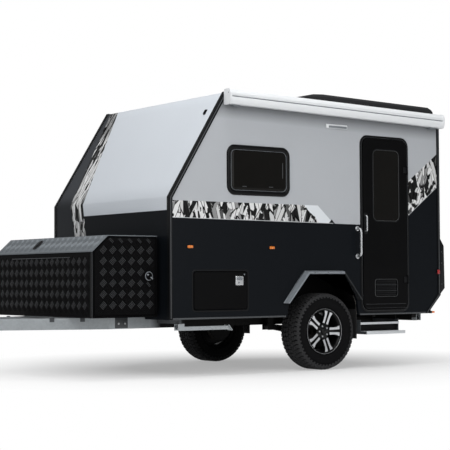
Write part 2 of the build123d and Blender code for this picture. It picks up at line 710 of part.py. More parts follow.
def shock_absorber():
    """A damper leaning from the arm's tail up to its bracket."""
    low = Vector(aft(WHEEL_X + 62), ARM_Y, up(TYRE_R + 36))
    high = Vector(aft(SHOCK_TOP_X), ARM_Y, up(RAIL_TOP - 22))
    length = (high - low).length
    angle = math.degrees(math.atan2(high.X - low.X, high.Z - low.Z))
    body = Pos(0, 0, length * 0.42) * Cylinder(21, length * 0.42)
    rod = Pos(0, 0, length * 0.5) * Cylinder(9, length - 14)
    return Pos(low.X, low.Y, low.Z) * Rot(0, angle, 0) * (body + rod)


def mudflap():
    return block(WHEELBOX_REAR - 20, WHEELBOX_REAR - 12, -HALF + 42, -BOX_INNER_Y - 20, 300, FLOOR_BOTTOM + 40)


def water_tank():
    tank = block(2500, 3060, -560, 560, 420, FLOOR_BOTTOM)
    return fillet(tank.edges().filter_by(Axis.Z), 40)


# Corner steadies, each drawn stowed and pointing along +X from its pivot
LEG_FRONT_X = 170.0
LEG_REAR_X = 3222.0
LEG_Y = 980.0
LEG_PIVOT = 458.0
LEG_LENGTH = 560.0
LEG_W = 44.0


def leg_at(solid, name):
    """Places a leg or bracket drawn pointing along +X from its pivot."""
    side = -1 if name.endswith("left") else 1
    if name.startswith("leg_front"):
        return Pos(aft(LEG_FRONT_X), side * LEG_Y, up(LEG_PIVOT)) * solid
    return Pos(aft(LEG_REAR_X), side * LEG_Y, up(LEG_PIVOT + 30)) * Rot(0, 0, -90 * side) * solid


def leg():
    """A channel-section leg with its pivot boss and foot, drawn stowed."""
    bar = Pos(LEG_LENGTH / 2, 0, -4) * Box(LEG_LENGTH, LEG_W, 36)
    bar -= Pos(LEG_LENGTH / 2 + 20, 0, -12) * Box(LEG_LENGTH - 60, LEG_W - 8, 36)
    boss = Rot(90, 0, 0) * Cylinder(20, LEG_W)
    foot = Pos(LEG_LENGTH + 4, 0, -4) * Rot(0, -40, 0) * Box(8, 70, 70)
    return bar + boss + foot - Rot(90, 0, 0) * Cylinder(8.2, LEG_W + 2)


def leg_bracket(reach):
    """Two cheeks and a pin, hung from a top plate at the given reach above the pin."""
    height = reach + 14
    cheek = Pos(-6, LEG_W / 2 + 8, reach - 6 - height / 2) * Box(70, 6, height)
    pin = Rot(90, 0, 0) * Cylinder(8, LEG_W + 22)
    plate = Pos(-6, 0, reach - 3) * Box(70, LEG_W + 22, 6)
    return cheek + mirror(cheek, about=Plane.XZ) + pin + plate


LEG_NAMES = ("leg_front_left", "leg_front_right", "leg_rear_left", "leg_rear_right")


# Pull-out double step under the door
STEP_FRONT = 2356.0
STEP_REAR = 2896.0


def step_treads():
    """Two ribbed treads between end plates, on runners that slide out under the door."""
    upper = block(STEP_FRONT, STEP_REAR, -HALF + 4, -HALF + 230, 440, 462)
    lower = block(STEP_FRONT, STEP_REAR, -HALF - 88, -HALF + 140, 345, 372)
    frame = upper + lower
    for row in range(4):
        frame -= block(STEP_FRONT + 30, STEP_REAR - 30, -HALF - 62 + row * 52, -HALF - 40 + row * 52, 340, 375)
        frame -= block(STEP_FRONT + 30, STEP_REAR - 30, -HALF + 26 + row * 52, -HALF + 48 + row * 52, 438, 464)
    for x in (STEP_FRONT, STEP_REAR - 8):
        points = [(x, 345), (x + 8, 345), (x + 8, 490), (x, 490)]
        frame += profile(points, -HALF + 10, -HALF + 130)
        frame += block(x, x + 8, -HALF + 10, -RAIL_OUTER_Y - 22, 462, 490)
    return frame


def step_runners():
    """The fixed channels that the step's arms slide in."""
    channels = Part()
    for x in (STEP_FRONT - 14, STEP_REAR + 5.5):
        channels += block(x, x + 8.5, -HALF + 60, -RAIL_OUTER_Y - 6, 455, RAIL_TOP)
    return channels


def awning_cassette():
    """The rolled awning's housing: one long extrusion between two end caps."""
    depth, height, length = 104.0, 146.0, 2900.0
    section = Pos(0, -depth / 2, 0) * Box(length, depth, height)
    section = fillet(section.edges().filter_by(Axis.X).sort_by(Axis.Y)[:2], 30)
    section -= Pos(0, -depth - 2, 8) * Box(length + 2, 12, 6)
    cap = Pos(length / 2 + 9, -depth / 2 - 2, 0) * Box(18, depth + 4, height + 6)
    cap = fillet(cap.edges().filter_by(Axis.X).sort_by(Axis.Y)[:2], 32)
    case = section + cap + mirror(cap, about=Plane.YZ)
    middle = 575 + 9 + length / 2 + 9
    return Pos(aft(middle), -HALF - 7, up(roof_height(middle) - 46)) * Rot(0, ROOF_ANGLE, 0) * case


def on_roof(solid):
    """Moves a piece drawn from the lid's front edge on the roof line to its place."""
    start = ROOF_FRONT_X + LID_FRONT
    return Pos(aft(start), 0, up(roof_height(start))) * Rot(0, ROOF_ANGLE, 0) * solid


def poptop_lid():
    """The lifting roof lid: a shallow hollow moulding with a raked front."""
    clear = GAP
    top_points = [
        (0.0, clear),
        (18.0, clear + 34),
        (300.0, clear + LID_RISE - 10),
        (430.0, clear + LID_RISE),
        (LID_LENGTH - 60, clear + LID_RISE),
        (LID_LENGTH - 8, clear + LID_RISE - 48),
        (LID_LENGTH, clear),
    ]
    def slab(points, half):
        corners = [(x, -half, z) for x, z in points]
        return extrude(make_face(Polyline(*corners, close=True)), amount=2 * half, dir=(0, 1, 0))
    outer = slab(top_points, LID_HALF)
    outer = chamfer(outer.edges().filter_by(Axis.X).group_by(Axis.Z)[-1], 26)
    hollow = [
        (LID_WALL + 6, clear - 1),
        (LID_WALL + 24, clear + 20),
        (310.0, clear + LID_RISE - 10 - LID_WALL),
        (435.0, clear + LID_RISE - LID_WALL),
        (LID_LENGTH - 76, clear + LID_RISE - LID_WALL),
        (LID_LENGTH - LID_WALL - 8, clear + 50),
        (LID_LENGTH - LID_WALL, clear - 1),
    ]
    return on_roof(outer - slab(hollow, LID_HALF - LID_WALL))


def poptop_skirt():
    """The folded fabric wall that stands under the closed lid, round the roof opening."""
    x0, x1 = 100.0, LID_LENGTH - 100.0
    half = LID_HALF - 110
    ring = Pos((x0 + x1) / 2, 0, 12) * Box(x1 - x0, 2 * half, 24)
    ring -= Pos((x0 + x1) / 2, 0, 12) * Box(x1 - x0 - 50, 2 * half - 50, 30)
    return on_roof(ring)


def grab_handle():
    """A bent tube that stands off the wall ahead of the door, on two round feet."""
    x, low, high, out, bend = 2318.0, 1140.0, 1424.0, 60.0, 26.0
    side = [(0.0, low), (out - bend, low), (out, low + bend), (out, high - bend), (out - bend, high), (0.0, high)]
    path = Polyline(*[(aft(x), -HALF - stand, up(h)) for stand, h in side])
    section = Plane(origin=path @ 0, z_dir=path % 0) * RegularPolygon(13, 12)
    tube = sweep(section, path=path, transition=Transition.RIGHT)
    feet = [Pos(aft(x), -HALF - 3, up(h)) * Rot(90, 0, 0) * Cylinder(24, 6) for h in (low, high)]
    return tube + feet[0] + feet[1]


# The dark markers high on the slope, one each side
TOP_MARKER_X = 522.0
TOP_MARKER_Y = 912.0


def slope_height(x):
    return BEND_HEIGHT + x * (ROOF_FRONT_HEIGHT - BEND_HEIGHT) / ROOF_FRONT_X


def marker_lamps():
    """Amber side lamps, the top corner markers and the stalk lamps at the rear."""
    lamps = []
    for x in (229.0, 1201.0):
        lamps.append(rounded_block(x - 34, x + 34, -HALF - 14, -HALF, 1201, 1231, 12))
    lamps.append(rounded_block(3470, 3492, -HALF - 18, -HALF - 7, 950, 1012, 8))
    rise = (REAR_CUT_HEIGHT - BODY_BOTTOM) / (REAR_X - REAR_CUT_X)
    foot = [(x, BODY_BOTTOM + (x - REAR_CUT_X) * rise) for x in (3400, 3384)]
    stalk = profile([(3384, 556), (3400, 556)] + foot, -HALF + 50, -HALF + 66)
    lamps.append(stalk + block(3372, 3412, -HALF + 42, -HALF + 74, 540, 562))
    steep = math.degrees(math.atan2(ROOF_FRONT_HEIGHT - BEND_HEIGHT, ROOF_FRONT_X))
    place = Pos(aft(TOP_MARKER_X), -TOP_MARKER_Y, up(slope_height(TOP_MARKER_X)))
    lamps.append(place * Rot(0, -steep, 0) * Pos(0, 0, 8) * Box(58, 30, 16))
    return Compound(list(both_sides(loose(*lamps)).solids()))


# The rear moulding's side profile, as (station behind the rear wall, height)
BUMPER = [(0.0, 1331.0), (8.0, 1331.0), (64.0, 1259.0), (72.0, 806.0), (0.0, 740.0)]
BUMPER_WALL = 8.0
BUMPER_END = HALF - 36.0
LAMP_LIMITS = (826.0, 1240.0)
LAMP_PROUD = 12.0


def rear_bumper():
    """The full-width moulding on the rear wall, hollow behind, that carries the lamps."""
    outer = profile([(REAR_X + x, h) for x, h in BUMPER], -BUMPER_END, BUMPER_END)
    hollow = [(0.0, 1300.0), (10.0, 1300.0), (56.0, 1250.0), (64.0, 812.0), (0.0, 754.0)]
    hollow = [(REAR_X + x - (1 if x == 0 else 0), h) for x, h in hollow]
    return outer - profile(hollow, -BUMPER_END + BUMPER_WALL, BUMPER_END - BUMPER_WALL)


def rear_lamps():
    """Tall lamp units on the moulding at both corners, leaning with its face."""
    (upper_x, upper_h), (lower_x, lower_h) = BUMPER[2], BUMPER[3]
    lean = (lower_x - upper_x) / (upper_h - lower_h)
    low, top = [(lower_x - (h - lower_h) * lean, h) for h in LAMP_LIMITS]
    points = [low, (low[0] + LAMP_PROUD, low[1] + 6), (top[0] + LAMP_PROUD, top[1] - 6), top]
    return both_sides(profile([(REAR_X + x, h) for x, h in points], -BUMPER_END + 20, -BUMPER_END + 150))


def build_parts():
    frame_piece, pane_piece = window_unit()
    parts = {
        "chassis_frame": chassis_rails(),
        "cross_members": cross_members(),
        "suspension_brackets": suspension_brackets(),
        "drawbar": drawbar(),
        "coupling": coupling(),
        "jockey_clamp": jockey_clamp(),
        "jockey_inner": jockey_inner(),
        "jockey_fork": jockey_fork(),
        "jockey_wheel": jockey_wheel(),
        "floor_panel": floor_panel(),
        "wall_left": side_wall(True),
        "wall_right": flipped(side_wall(False)),
        "front_panel": front_panel(),
        "slope_panel": shell_panel(1),
        "roof_panel": roof_panel(),
        "rear_panel": shell_panel(3),
        "rear_cut_panel": shell_panel(4),
        "edge_trims": both_sides(edge_trim()),
        "window_frames": both_sides(frame_piece),
        "window_panes": both_sides(pane_piece),
        "door_frame": door_frame(),
        "door_leaf": door_leaf(),
        "door_window": door_window(),
        "door_lock": door_lock(),
        "hatch_left": hatch_leaf(),
        "hatch_right": flipped(hatch_leaf()),
        "arch_flares": both_sides(arch_flare()),
        "wheel_boxes": both_sides(wheel_box()),
        "awning_cassette": awning_cassette(),
        "poptop_lid": poptop_lid(),
        "poptop_skirt": poptop_skirt(),
        "toolbox_shell": toolbox_shell(),
        "toolbox_lid": toolbox_lid(),
        "toolbox_door_left": toolbox_door(),
        "toolbox_door_right": flipped(toolbox_door()),
        "trailing_arms": both_sides(trailing_arm()),
        "coil_springs": both_sides(coil_spring()),
        "shock_absorbers": both_sides(shock_absorber()),
        "backing_plates": both_sides(backing_plate()),
        "drum_left": brake_drum(),
        "drum_right": flipped(brake_drum()),
        "tyre_left": tyre(),
        "tyre_right": flipped(tyre()),
        "rim_left": rim(),
        "rim_right": flipped(rim()),
        "mudflaps": both_sides(mudflap()),
        "water_tank": water_tank(),
        "step_treads": step_treads(),
        "step_runners": step_runners(),
        "grab_handle": grab_handle(),
        "marker_lamps": marker_lamps(),
        "rear_bumper": rear_bumper(),
        "rear_lamps": rear_lamps(),
    }
    brackets = []
    for name in LEG_NAMES:
        parts[name] = leg_at(leg(), name)
        reach = RAIL_TOP - LEG_PIVOT - 30 if name.startswith("leg_rear") else 500 - LEG_PIVOT
        brackets.append(leg_at(leg_bracket(reach), name))
    parts["leg_brackets"] = loose(*brackets)
    return parts


os.makedirs("parts", exist_ok=True)
for node, solid in build_parts().items():
    export_step(solid, f"parts/{node}.step")
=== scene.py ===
import math

import bmesh
import bpy
from mathutils import Matrix, Vector


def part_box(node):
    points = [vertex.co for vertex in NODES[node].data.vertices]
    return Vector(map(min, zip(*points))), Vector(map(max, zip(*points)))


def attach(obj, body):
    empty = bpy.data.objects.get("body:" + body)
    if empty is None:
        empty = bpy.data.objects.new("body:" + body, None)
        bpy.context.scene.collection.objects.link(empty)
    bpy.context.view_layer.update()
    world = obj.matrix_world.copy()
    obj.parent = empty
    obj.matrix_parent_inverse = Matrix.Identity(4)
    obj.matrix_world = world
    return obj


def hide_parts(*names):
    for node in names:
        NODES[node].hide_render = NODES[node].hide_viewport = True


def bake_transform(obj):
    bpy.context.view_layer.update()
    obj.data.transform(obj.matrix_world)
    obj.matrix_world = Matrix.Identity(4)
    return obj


# Finishes and fittings of a single-axle travel trailer, in metres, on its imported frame.
# Stations run aft from the body's front face, heights are above the ground.
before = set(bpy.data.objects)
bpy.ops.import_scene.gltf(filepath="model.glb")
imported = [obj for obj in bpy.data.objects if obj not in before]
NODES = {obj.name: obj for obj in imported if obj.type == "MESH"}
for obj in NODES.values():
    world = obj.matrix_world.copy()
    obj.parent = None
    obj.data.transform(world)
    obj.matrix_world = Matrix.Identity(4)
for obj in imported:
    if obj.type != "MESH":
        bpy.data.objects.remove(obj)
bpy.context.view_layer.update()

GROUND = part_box("tyre_left")[0].z
WALL_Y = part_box("wall_left")[0].y
FRONT_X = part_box("front_panel")[0].x
WHEEL_LOW, WHEEL_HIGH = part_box("tyre_left")
TYRE_R = (WHEEL_HIGH.z - WHEEL_LOW.z) / 2
WHEEL_CENTRE = (WHEEL_LOW + WHEEL_HIGH) / 2

# Outlines on the side, as (front, rear, low, top)
WINDOW = (0.658, 1.432, 1.715, 2.200)
DOOR = (2.359, 3.044, 0.563, 2.390)
DOOR_GLASS = (2.520, 2.905, 1.498, 2.256)
HATCH = (0.266, 0.900, 0.623, 0.988)
VENT = (2.551, 2.863, 0.730, 0.903)

# The body's bend and roof, as heights and (station, height) places
BEND = 1.675
ROOF_FRONT = (0.638, 2.691)
ROOF_REAR = (3.500, 2.635)
ROOF_TILT = math.radians(1.121)
RISE_TO_ROOF = ROOF_FRONT[1] - BEND

# Where the side's colours meet: a falling line, and a strip of print that ends in a slanting tip
SIDE_LINE = 1.485
SIDE_LINE_FALL = 0.0086
STRIP_TOP = 1.645
STRIP_TIP = 2.0
STRIP_TIP_LEAN = 1.19
PALE_END = 0.15
WEDGE_TIP = 1.975
WEDGE_HEIGHT = 0.042
PINSTRIPE = 0.005

# Rising lines at the side's rear, as (station, height, slope), and where their print starts
REAR_LINE = (3.047, 1.575, 0.734)
REAR_STRIP_TOP = (3.052, 1.940, 0.72)
REAR_STRIP_FROM = 2.2

# The painted shade that darkens the left wall below the awning, and how deep in the wall the pale lining
# starts
AWNING_SHADE_LOW = 2.505
AWNING_SHADE_FALL = 0.0196
AWNING_SHADE_DEPTH = 0.46
LINING_DEPTH = 0.0338

# The front's colour line, and its strip and band: (place at the bend, slope above, slope below)
FRONT_LINE = 1.555
FRONT_STRIP = (0.5, 0.34, 0.2)
FRONT_BAND = (0.75, 0.235, 0.29)
BEND_HALF = 0.015
PRINT_DIMS_FROM = 2.40
PRINT_DIMS_BY = 0.6

# How the front's skin rounds off at its bend and its crown, as (width, slope at the edge)
BEND_ROLL = (0.14, 0.287)
CROWN_ROLL = (0.10, 0.40)
SKIN_PER_HEIGHT = 1.18

# The rear's printed strip, from this place outwards, and the slivers of print to a metre
REAR_STRIP_OUT = 0.62
REAR_STRIP_LEAN = 0.8
SIDE_SLIVERS = 22.0
FRONT_SLIVERS = 30.0
REAR_SLIVERS = 23.0
ROOF_SEAM_PITCH = 0.6


def at(x, y, height):
    """A point at a station, a width and a height above the ground."""
    return Vector((FRONT_X + x, y, GROUND + height))


def moved_to(x, y, height):
    return Matrix.Translation(at(x, y, height))


def roof_line(x):
    slope = (ROOF_REAR[1] - ROOF_FRONT[1]) / (ROOF_REAR[0] - ROOF_FRONT[0])
    return ROOF_FRONT[1] + (x - ROOF_FRONT[0]) * slope


def rising(station, line):
    """The height at a station of a line given as (station, height, slope)."""
    return (station - line[0]) * line[2] + line[1]


def rgb(red, green, blue):
    """A colour from 0 to 255, as the linear values a shader wants."""
    def linear(level):
        level /= 255
        return level / 12.92 if level <= 0.04045 else ((level + 0.055) / 1.055) ** 2.4
    return (linear(red), linear(green), linear(blue), 1.0)


SILVER = rgb(180, 183, 187)
# Painted light: the side's silver made lighter for the front, slope and roof, where more light falls on them
SILVER_PAINTED_LIGHTER = rgb(204, 209, 215)
BODY_BLACK = rgb(16, 19, 23)
BAND_BLACK = rgb(36, 38, 41)
BAND_GREY = rgb(60, 62, 66)
PINSTRIPE_GREY = rgb(196, 199, 202)
PALE_PRINT = rgb(222, 226, 230)
LINING = rgb(176, 172, 164)
ZINC_GREY = rgb(164, 169, 172)
# Near black for the painted shade on the zinc under the body
UNDERBODY_SHADE_BLACK = rgb(13, 13, 13)

# Tones of the printed slivers, as (share of them below, level)
SLIVER_TONES = [(0.0, 0.012), (0.20, 0.09), (0.30, 0.62), (0.54, 0.28), (0.63, 0.012), (0.73, 0.74)]


class Value:
    """A shader socket that can be used in sums, so that a pattern reads as a formula."""

    def __init__(self, finish, socket):
        self.finish = finish
        self.socket = socket

    def maths(self, operation, *terms):
        return self.finish.node("Math", {"operation": operation}, dict(enumerate(terms)))

    def __add__(self, other):
        return self.maths("ADD", self, other)

    __radd__ = __add__

    def __sub__(self, other):
        return self.maths("SUBTRACT", self, other)

    def __rsub__(self, other):
        return self.maths("SUBTRACT", other, self)

    def __mul__(self, other):
        return self.maths("MULTIPLY", self, other)

    __rmul__ = __mul__

    def __truediv__(self, other):
        return self.maths("DIVIDE", self, other)

    def __neg__(self):
        return self * -1.0

    def highest(self, other):
        return self.maths("MAXIMUM", self, other)

    def wave(self):
        return self.maths("SINE", self)

    def size(self):
        return self.maths("ABSOLUTE", self)

    def root(self):
        return self.maths("SQRT", self)

    def over(self, edge, soft=0.0008):
        """1 where the value is above the edge and 0 below it, with a narrow ramp."""
        limits = {0: self, 1: edge - soft, 2: edge + soft}
        return self.finish.node("MapRange", {"clamp": True}, limits)


class Finish:
    """One material, built from its shader's constants and a few patterned sockets."""

    def __init__(self, name, **levels):
        self.material = bpy.data.materials.new(name)
        self.material.use_nodes = True
        self.tree = self.material.node_tree
        self.shader = self.tree.nodes["Principled BSDF"]
        for key, level in levels.items():
            self.shader.inputs[key.replace("_", " ")].default_value = level
        self.place = self.node("TexCoord", output="Object")

    def node(self, kind, settings=None, inputs=None, output=0):
        made = self.tree.nodes.new("ShaderNode" + kind)
        for key, setting in (settings or {}).items():
            if key == "stops":
                self.set_stops(made.color_ramp, setting)
            else:
                setattr(made, key, setting)
        for key, value in (inputs or {}).items():
            if isinstance(value, Value):
                self.tree.links.new(value.socket, made.inputs[key])
            else:
                made.inputs[key].default_value = value
        return Value(self, made.outputs[output])

    def set_stops(self, ramp, stops):
        ramp.interpolation = "CONSTANT"
        while len(ramp.elements) < len(stops):
            ramp.elements.new(0.5)
        for element, (position, level) in zip(ramp.elements, stops):
            element.position = position
            element.color = (level, level, level, 1.0)

    def axes(self, vector=None):
        """The three parts of a vector, by default of the place on the object."""
        first = self.node("SeparateXYZ", {}, {0: vector or self.place})
        return [Value(self, socket) for socket in first.socket.node.outputs]

    def from_axle(self):
        """How far a place lies from the wheels' axle."""
        x, y, z = self.axes()
        across = x - WHEEL_CENTRE.x
        down = z - WHEEL_CENTRE.z
        return (across * across + down * down).root()

    def give(self, socket, value):
        if isinstance(value, Value):
            self.tree.links.new(value.socket, self.shader.inputs[socket])
        else:
            self.shader.inputs[socket].default_value = value

    def noise(self, scale, detail=2.0, vector=None):
        """Soft noise about 0.5."""
        where = vector or self.place
        return self.node("TexNoise", {}, {"Vector": where, "Scale": scale, "Detail": detail})

    def patches(self, scale, detail):
        """Soft noise about 0."""
        return self.noise(scale, detail) - 0.5

    def cells(self, feature, where, scale, output, **settings):
        settings["feature"] = feature
        return self.node("TexVoronoi", settings, {"Vector": where, "Scale": scale}, output)

    def mix(self, mask, below, above):
        """One colour where the mask is 0 and another where it is 1."""
        return self.node("Mix", {"data_type": "RGBA"}, {0: mask, 6: below, 7: above}, output=2)

    def shade(self, colour, amount):
        """A colour made lighter or darker."""
        if not isinstance(colour, Value):
            colour = colour[:3]
        return self.node("VectorMath", {"operation": "SCALE"}, {0: colour, "Scale": amount})

    def coat(self, colour, tone, rough, relief, depth):
        """The finished material: a colour lightened by tone, a roughness, and a relief of some depth."""
        self.give("Base Color", self.shade(colour, tone + 1.0))
        self.give("Roughness", rough)
        self.give("Normal", self.node("Bump", {}, {"Height": relief, "Distance": depth}))
        return self.material


def plain(name, colour, rough, tone=0.05, patch=5.0, grain=700.0, depth=0.0001, **levels):
    """A finish with faint patches in its tone and gloss and a fine grain."""
    finish = Finish(name, **levels)
    patches = finish.patches(patch, 5.0)
    return finish.coat(colour, patches * (2 * tone), patches * 0.2 + rough, finish.noise(grain), depth)


def shards(finish, along, up, scale):
    """Upright slivers in blacks, greys and white that lean both ways, as a generic print."""
    layers = []
    for lean, stretch in ((0.24, 0.15), (-0.40, 0.20)):
        where = finish.node("CombineXYZ", {}, {0: along + up * lean, 1: up * stretch})
        cells = finish.cells("F1", where, scale, "Color", voronoi_dimensions="2D")
        tone = finish.node("ValToRGB", {"stops": SLIVER_TONES}, {0: finish.axes(cells)[0]})
        crack = finish.cells("DISTANCE_TO_EDGE", where, scale, "Distance", voronoi_dimensions="2D")
        layers.append(finish.shade(tone, crack.over(0.055, 0.015)))
    spot = finish.node("CombineXYZ", {}, {0: along, 1: up})
    choice = finish.noise(scale * 0.4, 3.0, spot).over(0.5, 0.01)
    return finish.mix(choice, layers[0], layers[1])


def coachwork(finish, colour, pressed=None):
    """Paint with faint unevenness and dust, and orange peel unless the skin's pressed form is given."""
    patches = finish.patches(1.3, 4.0)
    dust = finish.patches(42.0, 6.0)
    relief, depth = (pressed, 1.0) if pressed else (finish.noise(260.0, 1.0), 0.00004)
    tone = patches * 0.05 + dust * 0.03
    return finish.coat(colour, tone, patches * 0.08 + dust * 0.06 + 0.34, relief, depth)


def side_paint():
    """Silver over black, with a strip of shards between them and a rising one at the rear, and painted shade
    below the awning.
    """
    finish = Finish("side_paint", Specular_IOR_Level=0.06)
    x, y, z = finish.axes()
    station = x - FRONT_X
    height = z - GROUND
    low_line = SIDE_LINE - station * SIDE_LINE_FALL
    line = low_line.highest(rising(station, REAR_LINE))
    above_line = (height - line).over(0.0)
    tip = STRIP_TIP - (height - low_line) * STRIP_TIP_LEAN
    front_strip = (tip - station).over(0.0) * (STRIP_TOP - height).over(0.0) * station.over(0.03)
    rear_top = rising(station, REAR_STRIP_TOP)
    rear_strip = (rear_top - height).over(0.0) * station.over(REAR_STRIP_FROM)
    mask = above_line * front_strip.highest(rear_strip)
    ragged = finish.noise(14.0) * 0.06
    pale_end = (station - tip + PALE_END + ragged).over(0.0) * (REAR_STRIP_FROM - station).over(0.0)
    slivers = finish.mix(pale_end, shards(finish, station, height, SIDE_SLIVERS), PALE_PRINT)
    colour = finish.mix(above_line, BODY_BLACK, SILVER)
    colour = finish.mix(mask, colour, slivers)
    wedge = (low_line + WEDGE_HEIGHT - (station - WEDGE_TIP).size() - height).over(0.0)
    colour = finish.mix(wedge, colour, BODY_BLACK)
    pinstripe = mask * (line - height + PINSTRIPE).over(0.0)
    colour = finish.mix(pinstripe, colour, PINSTRIPE_GREY)
    # Painted shade: the left wall is darkened below the awning, as if in its shadow.
    awning_shade = (height + station * AWNING_SHADE_FALL - AWNING_SHADE_LOW).over(0.0, 0.055) * (-y).over(0.0)
    colour = finish.shade(colour, 1.0 - awning_shade * AWNING_SHADE_DEPTH)
    inner_face = (-WALL_Y - LINING_DEPTH - y.size()).over(0.0)
    return coachwork(finish, finish.mix(inner_face, colour, LINING))


def soft_edge(distance, width, slope):
    """The relief of a skin that falls away to a rounded edge, as steeply as slope at the edge."""
    inside = (1.0 - distance / width).highest(0.0)
    return inside * inside * (-0.5 * width * slope)


def front_paint():
    """Silver over black, the silver painted lighter than the side's as painted light, with a black band and a
    strip of shards down the right edge.
    """
    finish = Finish("front_paint", Specular_IOR_Level=0.07)
    y, z = finish.axes()[1:]
    height = z - GROUND
    above = (height - BEND - BEND_HALF).highest(0.0)
    below = (BEND + BEND_HALF - height).highest(0.0)
    inner, outer = [above * rise - below * fall + middle for middle, rise, fall in (FRONT_STRIP, FRONT_BAND)]
    colour = finish.mix(height.over(FRONT_LINE), BODY_BLACK, SILVER_PAINTED_LIGHTER)
    fade = 1.0 - height.over(PRINT_DIMS_FROM, 0.06) * PRINT_DIMS_BY
    slivers = finish.shade(shards(finish, y, height * 0.5, FRONT_SLIVERS), fade)
    colour = finish.mix((y - inner).over(0.0), colour, slivers)
    band = finish.mix(above.over(0.03, 0.05), BAND_BLACK, BAND_GREY)
    colour = finish.mix((y - outer).over(0.0), colour, band)
    bend = soft_edge((height - BEND).size(), *BEND_ROLL)
    crown = soft_edge((ROOF_FRONT[1] - height) * SKIN_PER_HEIGHT, *CROWN_ROLL)
    return coachwork(finish, colour, bend + crown)


def roof_paint():
    """Pale grey roof skin, painted lighter as painted light from above, with shallow seams across it."""
    finish = Finish("roof_skin", Specular_IOR_Level=0.3)
    seam = (finish.axes()[0] * (math.tau / ROOF_SEAM_PITCH)).wave().over(0.996, 0.003)
    relief = seam * 0.5 + finish.noise(90.0) * 0.06
    return finish.coat(SILVER_PAINTED_LIGHTER, seam * -0.18, finish.noise(9.0, 4.0) * 0.15 + 0.34, relief, 0.002)


def rear_paint():
    """Silver above a black lower half, as the side walls end."""
    finish = Finish("rear_paint", Specular_IOR_Level=0.06)
    y, z = finish.axes()[1:]
    height = z - GROUND
    above_line = height.over(rising(ROOF_REAR[0], REAR_LINE))
    under = rising(ROOF_REAR[0], REAR_STRIP_TOP) - height
    strip = above_line * under.over(0.0) * (y.size() - under * REAR_STRIP_LEAN).over(REAR_STRIP_OUT)
    colour = finish.mix(above_line, BODY_BLACK, SILVER)
    return coachwork(finish, finish.mix(strip, colour, shards(finish, y, height, REAR_SLIVERS)))


def galvanised(name, shade_behind_front=False):
    """Hot-dip zinc: spangle over a dull cast; behind the body's front, if asked, painted near black as
    painted shade under the body.
    """
    metal = 0.55
    finish = Finish(name, Metallic=metal, Specular_IOR_Level=0.1 if shade_behind_front else 0.5)
    spangle = finish.axes(finish.cells("F1", finish.place, 55.0, "Color"))[0] - 0.5
    cast = finish.patches(7.0, 5.0)
    colour = finish.shade(ZINC_GREY, spangle * 0.12 + cast * 0.22 + 1.0)
    # Painted shade: behind the body's front the zinc is turned near black and loses its shine, as in the
    # shadow under the body.
    if shade_behind_front:
        station = finish.axes()[0] - FRONT_X
        under = (station + cast * 0.06).over(0.12, 0.06)
        colour = finish.mix(under, colour, UNDERBODY_SHADE_BLACK)
        finish.give("Metallic", (1.0 - under) * metal)
    return finish.coat(colour, 0.0, spangle * 0.12 + cast * 0.2 + 0.46, finish.noise(60.0, 5.0), 0.0004)


def powder_coat(name, colour, rough, gloss=0.12):
    """Powder coat: pebbled, with pale dust in the open."""
    finish = Finish(name, Specular_IOR_Level=gloss)
    dust = finish.patches(11.0, 6.0)
    return finish.coat(colour, dust * 0.25, dust * 0.15 + rough, finish.noise(450.0, 3.0), 0.00025)


def tyre_rubber(name, colour):
    """Rubber with brown-grey dust low in the tread and faint rings of wear on the wall."""
    finish = Finish(name, Specular_IOR_Level=0.06)
    dust = finish.patches(24.0, 6.0)
    rings = (finish.from_axle() * 900.0).wave() * 0.5
    relief = finish.noise(500.0, 3.0) + rings * 0.2
    return finish.coat(colour, dust * 0.35 + rings * 0.05, dust * 0.2 + 0.72, relief, 0.0004)


def machined(name, colour):
    """Bright turned metal with fine rings about the wheel's axle."""
    finish = Finish(name, Metallic=0.85)
    rings = (finish.from_axle() * 4200.0).wave()
    return finish.coat(colour, rings * 0.05, rings * 0.05 + 0.3, rings, 0.00003)


def lens(name, colour, glow):
    """A ribbed plastic lens."""
    finish = Finish(name, Coat_Weight=0.6, Transmission_Weight=0.25, Emission_Strength=glow,
                    Emission_Color=colour)
    x, y, z = finish.axes()
    ribs = (z * 1400.0).wave() * (x * 1400.0).wave()
    return finish.coat(colour, ribs * 0.12, 0.2, ribs, 0.0004)


def woven(name, colour):
    """Coated weave with a small diamond ripstop."""
    finish = Finish(name, Sheen_Weight=0.2)
    x, y, z = finish.axes()
    threads = ((x + y) * 5200.0).wave() * (z * 5200.0).wave()
    patches = finish.patches(12.0, 4.0)
    return finish.coat(colour, threads * 0.08 + patches * 0.2, patches * 0.1 + 0.75, threads, 0.0004)


SIDE_PAINT = side_paint()
FRONT_PAINT = front_paint()
REAR_PAINT = rear_paint()
ROOF_SKIN = roof_paint()
ZINC = galvanised("galvanised")
SHADE_DARKENED_ZINC = galvanised("galvanised_painted_shade", shade_behind_front=True)
PLATED = plain("bright_zinc", rgb(176, 178, 180), 0.34, 0.12, 30.0, Metallic=0.9)
TREAD_BLACK = powder_coat("tread_plate_black", rgb(10, 10, 11), 0.5, 0.03)
# Painted highlight: a lighter copy of the black tread, for the bars leaning one way
TREAD_BAR_HIGHLIGHT = powder_coat("tread_bar_painted_highlight", rgb(52, 53, 55), 0.40, 0.2)
